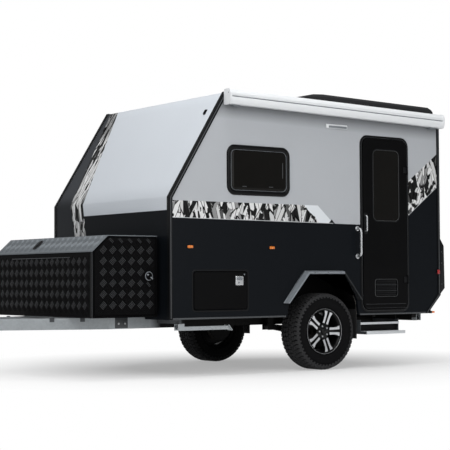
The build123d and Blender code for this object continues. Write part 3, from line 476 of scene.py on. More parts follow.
# Painted reflection: the lid's black tread plate made grey for the sky on its slope and top, its bars lighter
# still as a painted highlight
LID_REFLECTION_GREY = powder_coat("lid_plate_painted_reflection", rgb(106, 111, 115), 0.42)
LID_BAR_HIGHLIGHT = powder_coat("lid_bar_painted_highlight", rgb(142, 148, 153), 0.36)
CHASSIS_BLACK = powder_coat("chassis_black", rgb(14, 14, 15), 0.55)
TRIM_BLACK = plain("trim_black", rgb(14, 15, 17), 0.42, Specular_IOR_Level=0.12)
DOOR_BLACK = plain("door_black", rgb(6, 6, 7), 0.36, 0.08, Specular_IOR_Level=0.06)
BEAD_GREY = plain("bead_grey", rgb(88, 90, 91), 0.35)
GLOSS_BLACK = plain("gloss_black", rgb(10, 11, 12), 0.2, Specular_IOR_Level=0.14)
PANE = plain("tinted_acrylic", rgb(17, 16, 14), 0.07, 0.2, depth=0.00001, Specular_IOR_Level=0.12)
SEAL = plain("seal_rubber", rgb(18, 18, 19), 0.7, 0.15)
# Grey for inserts, sills and fittings, and a painted highlight on the door frame's bead and, in part, the
# edge mouldings' inserts
INSERT_GREY_AND_HIGHLIGHT = plain("insert_grey_and_painted_highlight", rgb(60, 63, 66), 0.4)
# Pale grey for real parts, and a painted highlight on the window's inner line and the toolbox lock's ring
PALE_GREY_AND_HIGHLIGHT = plain("pale_moulding_and_painted_highlight", rgb(120, 125, 130), 0.35)
FLARE_GREY = plain("flare_grey", rgb(134, 140, 146), 0.36, 0.08, Metallic=0.35)
# Painted shade for the flares' return and rear leg
FLARE_PAINTED_SHADE = plain("flare_shadow_grey", rgb(40, 42, 44), 0.42, 0.1, Specular_IOR_Level=0.3)
AWNING_WHITE = plain("awning_white", rgb(232, 234, 236), 0.3, 0.02, 2.0, Coat_Weight=0.2)
LID_GREY = plain("lid_moulding", rgb(24, 25, 27), 0.5, 0.08, 5.0, 300.0, 0.0003, Specular_IOR_Level=0.36)
STEP_BRIGHT = plain("bright_nosing", rgb(206, 209, 212), 0.4, 0.06, 20.0, Metallic=0.25)
SATIN_STEEL = plain("satin_steel", rgb(190, 192, 194), 0.28, 0.08, 24.0, Metallic=0.9)
DARK_BOARD = plain("dark_board", rgb(8, 8, 9), 0.6, 0.15, 5.0, 220.0, 0.0004, Specular_IOR_Level=0.08)
CAST_IRON = plain("cast_iron", rgb(74, 72, 70), 0.6, 0.3, 40.0, Metallic=0.5)
TANK = plain("tank_black", rgb(30, 31, 33), 0.55, grain=150.0, depth=0.0005)
FLAP = plain("flap_rubber", rgb(26, 26, 27), 0.75, 0.2, grain=120.0, depth=0.0008)
TYRE = tyre_rubber("tyre_rubber", rgb(15, 15, 16))
TREAD = tyre_rubber("tread_rubber", rgb(58, 58, 59))
MACHINED = machined("machined_face", rgb(206, 208, 211))
WHEEL_BLACK = plain("wheel_black", rgb(9, 9, 10), 0.3, Specular_IOR_Level=0.2)
AMBER = lens("amber_lens", rgb(232, 126, 30), 0.15)
RED = lens("red_lens", rgb(176, 20, 20), 0.1)
CLEAR = lens("clear_lens", rgb(238, 238, 232), 0.2)
SKIRT = woven("skirt_weave", rgb(96, 99, 103))


# Places nearer to each other than this are the same
CLOSE = 1e-6


def soften(bm, parts, size, segments=2, affect="EDGES"):
    bmesh.ops.bevel(bm, geom=list(parts), offset=size, offset_type="OFFSET", segments=segments,
                    profile=0.5, affect=affect, clamp_overlap=True, material=-1)


def thicken(bm, by):
    """Extrudes a flat form by a vector into a closed one, and hands back the points that moved."""
    made = bmesh.ops.extrude_face_region(bm, geom=bm.faces[:])
    moved = [part for part in made["geom"] if isinstance(part, bmesh.types.BMVert)]
    bmesh.ops.translate(bm, vec=by, verts=moved)
    bmesh.ops.recalc_face_normals(bm, faces=bm.faces)
    return moved


def mirrored(bm, parts=None):
    """Turns a form, or some of its parts, over to the other side of the trailer."""
    parts = parts or bm.verts[:] + bm.faces[:]
    verts = [part for part in parts if isinstance(part, bmesh.types.BMVert)]
    bmesh.ops.scale(bm, vec=(1, -1, 1), verts=verts)
    bmesh.ops.reverse_faces(bm, faces=[part for part in parts if isinstance(part, bmesh.types.BMFace)])


def cuboid(low, high, edge=0.0, segments=2):
    """A block between two corners, its edges rounded."""
    low, high = Vector(low), Vector(high)
    bm = bmesh.new()
    bmesh.ops.create_cube(bm, size=1.0)
    bmesh.ops.scale(bm, vec=high - low, verts=bm.verts)
    bmesh.ops.translate(bm, vec=(low + high) / 2, verts=bm.verts)
    if edge:
        soften(bm, bm.edges, edge, segments)
    return bm


def rod(start, end, radius, sides=20, edge=0.0):
    """A round bar from one point to another, rounded at its ends."""
    start, end = Vector(start), Vector(end)
    turn = (end - start).to_track_quat("Z", "Y").to_matrix().to_4x4()
    bm = bmesh.new()
    bmesh.ops.create_cone(bm, cap_ends=True, cap_tris=False, segments=sides, radius1=radius, radius2=radius,
                          depth=(end - start).length, matrix=Matrix.Translation((start + end) / 2) @ turn)
    if edge:
        caps = [face for face in bm.faces if len(face.verts) == sides]
        soften(bm, {rim for face in caps for rim in face.edges}, edge, 2)
    return bm


def turned(section, centre, steps=64):
    """A closed section of (radius, width) points turned about an axis across the trailer."""
    bm = bmesh.new()
    verts = [bm.verts.new((radius, width, 0.0)) for radius, width in section]
    edges = [bm.edges.new(pair) for pair in zip(verts, verts[1:] + verts[:1])]
    bmesh.ops.spin(bm, geom=verts + edges, cent=(0, 0, 0), axis=(0, 1, 0), dvec=(0, 0, 0),
                   angle=math.tau, steps=steps, use_merge=True, use_duplicate=False)
    bmesh.ops.remove_doubles(bm, verts=bm.verts, dist=CLOSE)
    bmesh.ops.dissolve_degenerate(bm, edges=bm.edges, dist=CLOSE / 10)
    bmesh.ops.recalc_face_normals(bm, faces=bm.faces)
    bmesh.ops.translate(bm, vec=centre, verts=bm.verts)
    return bm


def outline(points, y, corner=0.0, segments=6):
    """A flat face from (station, height) points, its corners rounded."""
    bm = bmesh.new()
    bm.faces.new([bm.verts.new(at(x, y, height)) for x, height in points])
    if corner:
        soften(bm, bm.verts, corner, segments, "VERTICES")
    bm.faces.ensure_lookup_table()
    return bm


def plate(points, near, far, corner, edge):
    """A side outline given thickness between two widths, with its far edge rounded."""
    bm = outline(points, near, corner)
    level = thicken(bm, (0, far - near, 0))[0].co.y
    rim = [e for e in bm.edges if all(abs(v.co.y - level) < CLOSE for v in e.verts)]
    soften(bm, rim, edge, 2)
    return bm


def oblong(limits, grow=0.0):
    x0, x1, low, top = limits
    x0, x1, low, top = x0 - grow, x1 + grow, low - grow, top + grow
    return [(x0, low), (x1, low), (x1, top), (x0, top)]


def moulded(points, y, corner, steps, hollow=True):
    """A moulding raised from a left wall by steps of (inset, rise), closed at the back."""
    bm = outline(points, y, corner, 8)
    face = bm.faces[0]
    face.normal_update()
    if face.normal.y > 0:
        face.normal_flip()
    for inset, rise in steps:
        bmesh.ops.inset_region(bm, faces=[face], thickness=inset, depth=rise,
                               use_boundary=True, use_even_offset=True)
    if hollow:
        bmesh.ops.delete(bm, geom=[face], context="FACES_ONLY")
        bmesh.ops.bridge_loops(bm, edges=[e for e in bm.edges if e.is_boundary])
    else:
        bmesh.ops.holes_fill(bm, edges=[e for e in bm.edges if e.is_boundary], sides=0)
    bmesh.ops.recalc_face_normals(bm, faces=bm.faces)
    return bm


def tube(points, radius, bend):
    """A round bar bent at its corners, from a bevelled curve of runs and arcs."""
    points = [Vector(point) for point in points]
    path = [points[0]]
    for before, corner, after in zip(points, points[1:], points[2:]):
        start = corner + (before - corner).normalized() * bend
        end = corner + (after - corner).normalized() * bend
        for step in range(9):
            t = step / 8
            path.append(start.lerp(corner, t).lerp(corner.lerp(end, t), t))
    path.append(points[-1])
    curve = bpy.data.curves.new("bent_bar", "CURVE")
    curve.dimensions = "3D"
    curve.bevel_depth = radius
    curve.bevel_resolution = 4
    curve.use_fill_caps = True
    spline = curve.splines.new("POLY")
    spline.points.add(len(path) - 1)
    for point, place in zip(spline.points, path):
        point.co = (*place, 1.0)
    holder = bpy.data.objects.new("bent_bar", curve)
    mesh = bpy.data.meshes.new_from_object(holder)
    bm = bmesh.new()
    bm.from_mesh(mesh)
    bmesh.ops.remove_doubles(bm, verts=bm.verts, dist=CLOSE * 10)
    bpy.data.objects.remove(holder)
    bpy.data.curves.remove(curve)
    bpy.data.meshes.remove(mesh)
    return bm


def placed(name, data):
    """A new object in the scene that holds the data."""
    obj = bpy.data.objects.new(name, data)
    bpy.context.scene.collection.objects.link(obj)
    return obj


def mesh_of(name, bm, *finishes):
    mesh = bpy.data.meshes.new(name)
    bm.to_mesh(mesh)
    bm.free()
    for finish in finishes:
        mesh.materials.append(finish)
    return mesh


class Piece:
    """A visible piece, put together from forms that each carry one of its finishes."""

    def __init__(self, *finishes):
        self.bm = bmesh.new()
        self.finishes = finishes

    def add(self, form, paint=0, places=(Matrix.Identity(4),)):
        """Adds a form, once for each place."""
        for face in form.faces:
            face.material_index = paint
        mesh = mesh_of("form", form)
        for place in places:
            mesh.transform(place)
            self.bm.from_mesh(mesh)
            mesh.transform(place.inverted())
        bpy.data.meshes.remove(mesh)

    def block(self, low, high, edge, paint=0, segments=2):
        """Adds a block between two corners of (station, width, height)."""
        self.add(cuboid(at(*low), at(*high), edge, segments), paint)

    def pin(self, x, height, near, far, radius, sides, edge, paint=0):
        """Adds a round head on a side wall, from one width to another."""
        self.add(rod(at(x, near, height), at(x, far, height), radius, sides, edge), paint)

    def moulding(self, limits, y, corner, steps, paint=0, grow=0.0, hollow=True):
        """Adds a moulding with the outline of the limits."""
        self.add(moulded(oblong(limits, grow), y, corner, steps, hollow), paint)

    def both_sides(self):
        """Repeats everything on the right-hand side."""
        geometry = self.bm.verts[:] + self.bm.edges[:] + self.bm.faces[:]
        mirrored(self.bm, bmesh.ops.duplicate(self.bm, geom=geometry)["geom"])
        return self

    def on_side(self, side):
        """Moves everything to the right-hand side, if that is the side."""
        if side == "right":
            mirrored(self.bm)
        return self

    def finish(self, name, body, slot, replaces=(), smooth=35.0):
        mesh = mesh_of(name, self.bm, *self.finishes)
        mesh.shade_smooth()
        mesh.set_sharp_from_angle(angle=math.radians(smooth))
        piece = placed(name, mesh)
        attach(piece, body)
        if replaces:
            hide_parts(*replaces)


def dress(finish, *nodes):
    """Gives a finish to frame nodes whose shape is shown as it is."""
    for node in nodes:
        for slot in NODES[node].material_slots:
            slot.material = finish


def round_axle(count, phase=0.0):
    """Places evenly round the left wheel's axle, as turns of its centre."""
    centre = Matrix.Translation(WHEEL_CENTRE)
    return [centre @ Matrix.Rotation(math.tau * (index + phase) / count, 4, "Y") for index in range(count)]


TREAD_PITCHES = 52
TREAD_HEIGHT = 0.0105
SIPE = 0.0012
# Half of the tyre's wall, from the bead out, as (radius, width)
TYRE_WALL = [(0.2065, 0.096), (0.2275, 0.1000), (0.2330, 0.1090), (0.2500, 0.1165), (0.2530, 0.1190),
             (0.2560, 0.1180), (0.2800, 0.1255), (0.3050, 0.1282), (0.3180, 0.1283), (0.3200, 0.1268),
             (0.3400, 0.1250), (0.3560, 0.1180), (0.3660, 0.1080), (0.3725, 0.0930), (0.3738, 0.0500)]
# Rows of blocks: place across, width, length, skew, tilt, phase, and the stagger between the two halves
TREAD_ROWS = [(0.1035, 0.036, 0.031, 6, -18, 0.0, 0.25), (0.0640, 0.033, 0.034, -22, 0, 0.5, 0.0),
              (0.0225, 0.034, 0.036, 16, 0, 0.25, 0.25)]
# Shoulder lugs: length, phase, radius
LUGS = [(0.040, 0.0, 0.351), (0.024, 0.5, 0.357)]
LUG_ACROSS = 0.1215
LUG_LEAN = -64
LUG_STAGGER = 0.25
WHEEL_STEPS = 120


def tread_half(piece, hand):
    """The blocks of one half of the tread, each split by a sipe, and its shoulder lugs."""
    for across, width, length, skew, tilt, phase, stagger in TREAD_ROWS:
        sink = TREAD_HEIGHT + 0.0008 + abs(tilt) * 0.00022
        lift = Matrix.Translation((0, hand * across, TYRE_R - sink))
        lean = Matrix.Rotation(math.radians(hand * tilt), 4, "X")
        slant = Matrix.Rotation(math.radians(hand * skew), 4, "Z")
        places = [turn @ lift @ lean @ slant for turn in round_axle(TREAD_PITCHES, phase + stagger * hand)]
        for half in (-1, 1):
            middle = half * (length / 4 + SIPE / 2)
            low = (middle - length / 4, -width / 2, 0.0)
            high = (middle + length / 4, width / 2, TREAD_HEIGHT)
            piece.add(cuboid(low, high, 0.0016, 1), 0, places)
    for length, phase, radius in LUGS:
        lift = Matrix.Translation((0, hand * LUG_ACROSS, radius))
        lean = Matrix.Rotation(math.radians(hand * LUG_LEAN), 4, "X")
        form = cuboid((-0.0095, -length / 2, -0.004), (0.0095, length / 2, 0.0042), 0.0014, 1)
        turns = round_axle(TREAD_PITCHES, phase + LUG_STAGGER * hand)
        piece.add(form, 0, [turn @ lift @ lean for turn in turns])


def tyre(side):
    """An all-terrain tyre: carcass, tread blocks and shoulder lugs."""
    section = [(radius, -width) for radius, width in TYRE_WALL] + TYRE_WALL[::-1]
    piece = Piece(TREAD, TYRE)
    piece.add(turned(section, WHEEL_CENTRE, WHEEL_STEPS), 1)
    for hand in (-1, 1):
        tread_half(piece, hand)
    piece.on_side(side).finish("tread_tyre_" + side, "wheel_" + side, "tyre_rubber", ["tyre_" + side], 40)


SPOKE_PAIRS = 5
SPOKE_FACE = -0.1035
SPOKE_CHAMFER = (0.0046, 0.004)
SPOKE_DEPTH = 0.032
SPOKE_NARROWS = 0.94
# How far the spokes sink at the hub, and the radii between which they rise to the rim's level
SPOKE_BOW = 0.013
BOW_RADII = (0.05, 0.18)
# Half of a spoke pair, as (radius, distance from the pair's centre line)
SPOKE_HALF = [(0.076, 0.0070), (0.076, 0.0365), (0.084, 0.0410), (0.096, 0.0400), (0.150, 0.0405),
              (0.172, 0.0450), (0.190, 0.0545), (0.2070, 0.0585), (0.2105, 0.0120), (0.175, 0.0098)]
# The wheel's turned sections, as (radius, width): barrel, polished lip, hub and centre cap
BARREL = [(0.2255, -0.1110), (0.2255, -0.1030), (0.2100, -0.0940), (0.2050, -0.0880), (0.2050, 0.0950),
          (0.2255, 0.1010), (0.2255, 0.1070), (0.2000, 0.0990), (0.1960, 0.0900), (0.1920, 0.0000),
          (0.1960, -0.0700), (0.2040, -0.0900), (0.2130, -0.1040)]
LIP = [(0.2262, -0.1122), (0.2262, -0.1095), (0.2242, -0.1095), (0.2238, -0.1110), (0.2250, -0.1128)]
HUB = [(0.0, -0.0950), (0.0310, -0.0950), (0.0345, -0.0900), (0.0740, -0.0860), (0.0800, -0.0800),
       (0.0800, -0.0300), (0.0, -0.0300)]
CAP = [(0.0, -0.1075), (0.0200, -0.1065), (0.0275, -0.1030), (0.0300, -0.0980), (0.0300, -0.0930),
       (0.0, -0.0930)]
# The nuts' seats and the nuts: outer end, radius, sides, paint
NUT_CIRCLE = 0.0530
NUTS = [(-0.0885, 0.0150, 24, 0), (-0.1000, 0.0098, 6, 2)]
# What the lathe has turned bright: faces square to the axle, out past this depth, between these radii
BRIGHT_PAST = -0.0885
BRIGHT_RADII = (0.072, 0.212)


def spoke_half():
    """One half of a twin spoke, chamfered on its face and bowed in towards the hub."""
    inset, rise = SPOKE_CHAMFER
    shoulder = SPOKE_FACE + rise
    bm = bmesh.new()
    bm.faces.new([bm.verts.new((radius, shoulder, offset)) for radius, offset in SPOKE_HALF])
    bmesh.ops.scale(bm, vec=(1, 1, SPOKE_NARROWS), verts=thicken(bm, (0, SPOKE_DEPTH, 0)))
    front = [f for f in bm.faces if all(abs(v.co.y - shoulder) < CLOSE for v in f.verts)]
    bmesh.ops.inset_region(bm, faces=front, thickness=inset, depth=rise, use_even_offset=True)
    start, end = BOW_RADII
    for vert in bm.verts:
        vert.co.y += SPOKE_BOW * max(0.0, 1.0 - (vert.co.x - start) / (end - start))
    return bm


def alloy_wheel(side):
    """The alloy wheel: barrel, polished lip, five twin spokes, hub, cap, nuts and valve."""
    piece = Piece(WHEEL_BLACK, MACHINED, PLATED)
    sections = ((BARREL, WHEEL_STEPS, 0), (LIP, WHEEL_STEPS, 1), (HUB, 60, 0), (CAP, 48, 0))
    for section, steps, paint in sections:
        piece.add(turned(section, WHEEL_CENTRE, steps), paint)
    turns = round_axle(SPOKE_PAIRS)
    for hand in (1, -1):
        form = spoke_half()
        if hand < 0:
            bmesh.ops.scale(form, vec=(1, 1, -1), verts=form.verts)
            bmesh.ops.reverse_faces(form, faces=form.faces)
        piece.add(form, 0, turns)
    groove = cuboid((0.052, -0.0830, -0.0115), (0.200, -0.0660, 0.0115), 0.002, 1)
    piece.add(groove, 0, turns)
    for end, radius, sides, paint in NUTS:
        nut = rod((NUT_CIRCLE, -0.0860, 0), (NUT_CIRCLE, end, 0), radius, sides, 0.0012)
        piece.add(nut, paint, round_axle(SPOKE_PAIRS, 0.5))
    valve = rod((0.196, -0.098, 0), (0.190, -0.116, 0), 0.0042, 12, 0.001)
    piece.add(valve, 0, [Matrix.Translation(WHEEL_CENTRE) @ Matrix.Rotation(math.radians(250), 4, "Y")])
    piece.bm.normal_update()
    for face in piece.bm.faces:
        middle = face.calc_center_median() - WHEEL_CENTRE
        square = face.normal.y < -0.9 and middle.y < BRIGHT_PAST
        if face.material_index == 0 and square and BRIGHT_RADII[0] < math.hypot(*middle.xz) < BRIGHT_RADII[1]:
            face.material_index = 1
    piece.on_side(side).finish("alloy_wheel_" + side, "wheel_" + side, "alloy", ["rim_" + side])


# A brake shield's section, as (radius, width); the shield also stands in for the shade inside the wheel
SHIELD_AND_SHADE_SECTION = [(0.118, 0.0560), (0.150, 0.0540), (0.176, 0.0500), (0.1860, 0.0500), (0.1860, 0.0530),
          (0.176, 0.0530), (0.150, 0.0570), (0.118, 0.0590)]


def brake_shields_and_shade():
    """The pressed dust shields behind the wheels, dished and ribbed, also a dark sheet standing in for the
    shade inside each wheel.
    """
    piece = Piece(CHASSIS_BLACK)
    piece.add(turned(SHIELD_AND_SHADE_SECTION, WHEEL_CENTRE, 64))
    piece.add(cuboid((0.120, 0.0490, -0.006), (0.172, 0.0560, 0.006), 0.002), 0, round_axle(6))
    piece.both_sides().finish("brake_shields_and_shade", "trailer", "black_steel")


# The step's treads, as heights of their lower and upper edges, and the ribs on the lower one
LOWER_TREAD = (0.344, 0.375)
UPPER_TREAD = (0.441, 0.464)
RIB_PITCH = 0.052


def step_edges():
    """The step's bright nosings, ribs under foot and the black riser between its end plates."""
    piece = Piece(STEP_BRIGHT, CHASSIS_BLACK)
    low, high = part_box("step_treads")
    front, rear, out = low.x - FRONT_X, high.x - FRONT_X, low.y
    piece.block((front, out - 0.003, LOWER_TREAD[0]), (rear, out + 0.006, LOWER_TREAD[1]), 0.002)
    piece.block((front, WALL_Y + 0.001, UPPER_TREAD[0]), (rear, WALL_Y + 0.010, UPPER_TREAD[1]), 0.002)
    riser = (front + 0.008, WALL_Y + 0.030, LOWER_TREAD[1] - 0.002)
    piece.block(riser, (rear - 0.008, WALL_Y + 0.034, UPPER_TREAD[0] - 0.001), 0.001, 1)
    for row in range(4):
        rib = out + 0.010 + row * RIB_PITCH
        piece.block((front + 0.030, rib, 0.371), (rear - 0.030, rib + 0.008, 0.374), 0.001)
    piece.finish("step_nosings", "step", "step_aluminium")


# Sections of the mouldings, as steps of (inset, rise) from their outer edge inwards
WINDOW_FRAME = [(0.0030, 0.0060), (0.0050, 0.0050), (0.0100, 0.0025), (0.0200, -0.0010),
                (0.0060, -0.0035), (0.0040, -0.0060)]
WINDOW_HIGHLIGHT_RIDGE = [(0.0008, 0.0065), (0.0022, 0.0006), (0.0012, -0.0050)]
PANE_DOME = [(0.0010, 0.0040), (0.0040, 0.0035), (0.0120, 0.0014), (0.0200, 0.0010)]
DOOR_FRAME = [(0.0020, 0.0050), (0.0040, 0.0030), (0.0150, 0.0005), (0.0035, -0.0040)]
DOOR_SEAL = [(0.0010, 0.0025), (0.0030, 0.0012), (0.0010, -0.0020)]
DOOR_HIGHLIGHT_BEAD = [(0.0006, 0.0022), (0.0012, 0.0002), (0.0006, -0.0020)]
GLASS_FRAME = [(0.0015, 0.0030), (0.0040, 0.0015), (0.0055, 0.0), (0.0020, -0.0025)]
GLASS_BEAD = [(0.0008, 0.0028), (0.0028, 0.0004), (0.0008, -0.0020)]
VENT_BEAD = [(0.0008, 0.0024), (0.0014, 0.0006), (0.0008, -0.0024)]
LOCK_PLATE = [(0.0015, 0.004), (0.0025, 0.002), (0.0100, 0.0010)]
HATCH_FRAME = [(0.0008, 0.0014), (0.0030, 0.0006), (0.0100, 0.0), (0.0016, -0.0012)]
HATCH_RIM = [(0.0008, 0.0012), (0.0014, 0.0004), (0.0010, -0.0010)]
HATCH_LOCK = [(0.0012, 0.0050), (0.0030, 0.0030), (0.0060, 0.0008)]
LAMP_BASE = [(0.0010, 0.0030), (0.0030, 0.0015)]
LAMP_LENS = [(0.0008, 0.0050), (0.0030, 0.0030), (0.0040, 0.0010)]

# Where the window's painted highlight line and pane lie in its frame, and the latches seen in the pane
HIGHLIGHT_LINE_INSET = 0.0465
PANE_INSET = 0.0505
HINGE_IN = 0.16
LATCHES = [(WINDOW[1] - 0.098, WINDOW[2] + 0.255, 0.007, 0.150),
           (WINDOW[0] + 0.205, WINDOW[2] + 0.086, 0.050, 0.006),
           (WINDOW[1] - 0.245, WINDOW[2] + 0.090, 0.050, 0.006)]


def window_units():
    """Hinged caravan windows: gloss surround, a pale line inside it that is a painted highlight, and a domed
    tinted pane.
    """
    surround = Piece(GLOSS_BLACK, PALE_GREY_AND_HIGHLIGHT)
    surround.moulding(WINDOW, WALL_Y, 0.092, WINDOW_FRAME)
    # Painted highlight: the pale line inside the surround.
    surround.moulding(WINDOW, WALL_Y - 0.003, 0.058, WINDOW_HIGHLIGHT_RIDGE, 1, -HIGHLIGHT_LINE_INSET)
    front, rear, top = WINDOW[0], WINDOW[1], WINDOW[3]
    for x in (front + HINGE_IN, rear - HINGE_IN):
        corner = (x - 0.026, WALL_Y - 0.0155, top - 0.016)
        surround.block(corner, (x + 0.026, WALL_Y - 0.004, top - 0.004), 0.002)
    surround.both_sides().finish("window_surrounds", "trailer", "black_trim", ["window_frames"])
    pane = Piece(PANE, INSERT_GREY_AND_HIGHLIGHT)
    pane.moulding(WINDOW, WALL_Y - 0.001, 0.054, PANE_DOME, 0, -PANE_INSET, hollow=False)
    face = WALL_Y - 0.0105
    for x, height, wide, tall in LATCHES:
        corner = (x - wide / 2, face - 0.0015, height - tall / 2)
        pane.block(corner, (x + wide / 2, face + 0.001, height + tall / 2), 0.0007, 1)
    pane.both_sides().finish("domed_panes", "trailer", "tinted_pane", ["window_panes"])


def door_surround():
    """The door's outer frame, with its rubber seal and a grey bead that is a painted highlight along its
    inner edge.
    """
    piece = Piece(TRIM_BLACK, SEAL, INSERT_GREY_AND_HIGHLIGHT)
    piece.moulding(DOOR, WALL_Y, 0.100, DOOR_FRAME)
    piece.moulding(DOOR, WALL_Y, 0.076, DOOR_SEAL, 1, -0.0240)
    # Painted highlight: the grey bead along the frame's inner edge.
    piece.moulding(DOOR, WALL_Y - 0.007, 0.080, DOOR_HIGHLIGHT_BEAD, 2, -0.0200)
    piece.finish("door_surround", "trailer", "black_trim", ["door_frame"])


LEAF_FACE = WALL_Y - 0.014
DOOR_LOCK = (2.397, 2.447, 1.368, 1.588)
LEVER_X = 2.412
LEVER_ENDS = (1.556, 1.398)
HINGE_X = DOOR[1] - 0.028
HINGE_HEIGHTS = (0.900, 2.050)
KNUCKLE_PITCH = 0.0305
SLAT_PITCH = 0.0185


def door_trims():
    """On the leaf: the pane's moulding and bead, the slatted kick vent and two pressed lines below."""
    piece = Piece(TRIM_BLACK, BEAD_GREY, INSERT_GREY_AND_HIGHLIGHT)
    piece.moulding(DOOR_GLASS, LEAF_FACE, 0.068, GLASS_FRAME)
    piece.moulding(DOOR_GLASS, LEAF_FACE, 0.058, GLASS_BEAD, 1, -0.0100)
    piece.moulding(VENT, LEAF_FACE, 0.030, VENT_BEAD, 1, 0.004)
    front, rear, low = VENT[:3]
    for height in (low + 0.055, low + 0.118):
        corner = (front + 0.006, LEAF_FACE - 0.0022, height)
        piece.block(corner, (rear - 0.006, LEAF_FACE + 0.004, height + 0.0022), 0.0008, 2)
    for row in range(9):
        height = low + 0.014 + row * SLAT_PITCH
        corner = (front + 0.016, LEAF_FACE - 0.0004, height)
        piece.block(corner, (rear - 0.016, LEAF_FACE + 0.0045, height + 0.0100), 0.0015)
    front, rear, low = DOOR[:3]
    for height, wide, out, edge in ((0.085, 0.0025, 0.0025, 0.0008), (0.046, 0.0015, 0.0015, 0.0005)):
        corner = (front + 0.060, LEAF_FACE - out, low + height)
        piece.block(corner, (rear - 0.060, LEAF_FACE, low + height + wide), edge, 2)
    piece.finish("door_mouldings", "door", "door_black")


def door_hardware():
    """The lock plate with its lever and keyhole, and two hinges of three knuckles and a screwed leaf."""
    piece = Piece(TRIM_BLACK, SATIN_STEEL)
    piece.moulding(DOOR_LOCK, LEAF_FACE, 0.020, LOCK_PLATE, hollow=False)
    top, low = LEVER_ENDS
    bends = ((0.004, top), (0.034, top), (0.034, low), (0.004, low))
    piece.add(tube([at(LEVER_X, LEAF_FACE - out, height) for out, height in bends], 0.0085, 0.018), 1)
    piece.pin(2.434, 1.475, LEAF_FACE - 0.002, LEAF_FACE - 0.010, 0.0090, 24, 0.0015, 1)
    for middle in HINGE_HEIGHTS:
        for part in range(3):
            foot = middle - 0.045 + part * KNUCKLE_PITCH
            ends = [at(HINGE_X, WALL_Y - 0.022, height) for height in (foot, foot + 0.029)]
            piece.add(rod(*ends, 0.0075, 20, 0.001))
        corner = (HINGE_X - 0.060, WALL_Y - 0.0195, middle - 0.030)
        piece.block(corner, (HINGE_X - 0.002, WALL_Y - 0.0140, middle + 0.030), 0.0015)
        for dx in (-0.048, -0.026):
            for dz in (-0.018, 0.018):
                piece.pin(HINGE_X + dx, middle + dz, WALL_Y - 0.0190, WALL_Y - 0.0215, 0.0042, 12, 0.0008)
    piece.finish("door_handle_and_hinges", "door", "black_trim", ["door_lock"])


def hatch_fittings(side):
    """A service hatch's pressed rim, and its lock plate with barrel, lever and catch."""
    piece = Piece(DOOR_BLACK, PALE_GREY_AND_HIGHLIGHT, SATIN_STEEL)
    rear, top = HATCH[1], HATCH[3]
    face = WALL_Y - 0.004
    piece.moulding(HATCH, face, 0.024, HATCH_RIM, 0, -0.010)
    plate_limits = (rear - 0.148, rear - 0.053, top - 0.136, top - 0.044)
    piece.moulding(plate_limits, face, 0.014, HATCH_LOCK, 2, hollow=False)
    piece.pin(rear - 0.112, top - 0.108, face - 0.008, face - 0.0125, 0.0095, 20, 0.001, 1)
    corner = (rear - 0.134, face - 0.0140, top - 0.084)
    piece.block(corner, (rear - 0.072, face - 0.008, top - 0.056), 0.003, 1)
    piece.pin(rear - 0.040, top - 0.030, face, face - 0.0030, 0.0075, 18, 0.001, 1)
    piece.on_side(side).finish("hatch_lock_" + side, "hatch_" + side, "door_black")


def hatch_frames():
    """The flush frame round each service hatch."""
    piece = Piece(TRIM_BLACK)
    piece.moulding(HATCH, WALL_Y, 0.034, HATCH_FRAME, 0, 0.016)
    piece.both_sides().finish("hatch_frames", "trailer", "black_trim")


# The flare's lines, from the wall out to its lip and back: (front low, front top, rear top, rear low)
FLARE_LINES = [
    (0.000, [(1.343, 0.676), (1.610, 0.996), (2.104, 0.996), (2.354, 0.700)]),
    (0.010, [(1.346, 0.676), (1.6125, 0.994), (2.1025, 0.994), (2.352, 0.700)]),
    (0.060, [(1.362, 0.673), (1.624, 0.984), (2.094, 0.984), (2.334, 0.697)]),
    (0.062, [(1.365, 0.673), (1.627, 0.981), (2.092, 0.981), (2.331, 0.697)]),
    (0.062, [(1.373, 0.672), (1.632, 0.964), (2.096, 0.964), (2.322, 0.694)]),
    (0.058, [(1.376, 0.672), (1.635, 0.961), (2.098, 0.961), (2.320, 0.693)]),
    (0.000, [(1.418, 0.672), (1.658, 0.955), (2.140, 0.955), (2.316, 0.692)]),
]
FLARE_SHADE_FROM = 2.112
FLARE_SCREWS = (1.700, 1.870, 2.040)


def flares():
    """Folded wheel-arch flares: a raked flank, a flat lip band and a return to the wall, the return and rear
    leg in painted shade.
    """
    bm = bmesh.new()
    lines = []
    for out, points in FLARE_LINES:
        verts = [bm.verts.new(at(x, WALL_Y - out, height)) for x, height in points]
        lines.append([bm.edges.new(pair) for pair in zip(verts, verts[1:])])
    for first, second in zip(lines, lines[1:]):
        bmesh.ops.bridge_loops(bm, edges=first + second)
    bmesh.ops.holes_fill(bm, edges=[e for e in bm.edges if e.is_boundary], sides=0)
    bmesh.ops.recalc_face_normals(bm, faces=bm.faces)
    piece = Piece(FLARE_GREY, FLARE_PAINTED_SHADE)
    piece.add(bm)
    # Painted shade: the return to the wall and the rear leg take the dark grey.
    for face in piece.bm.faces:
        middle = face.calc_center_median()
        back = middle.y > WALL_Y - 0.012 or abs(middle.y - WALL_Y + 0.029) < 0.001
        if back or middle.x - FRONT_X > FLARE_SHADE_FROM:
            face.material_index = 1
    for x in FLARE_SCREWS:
        piece.pin(x, 0.973, WALL_Y - 0.061, WALL_Y - 0.0645, 0.0045, 14, 0.0012, 1)
    piece.both_sides().finish("folded_flares", "trailer", "silver_grey", ["arch_flares"], 25)


AWNING_HALF_TALL = 0.073
END_CAP = 0.020
BRACKET_IN = 0.12


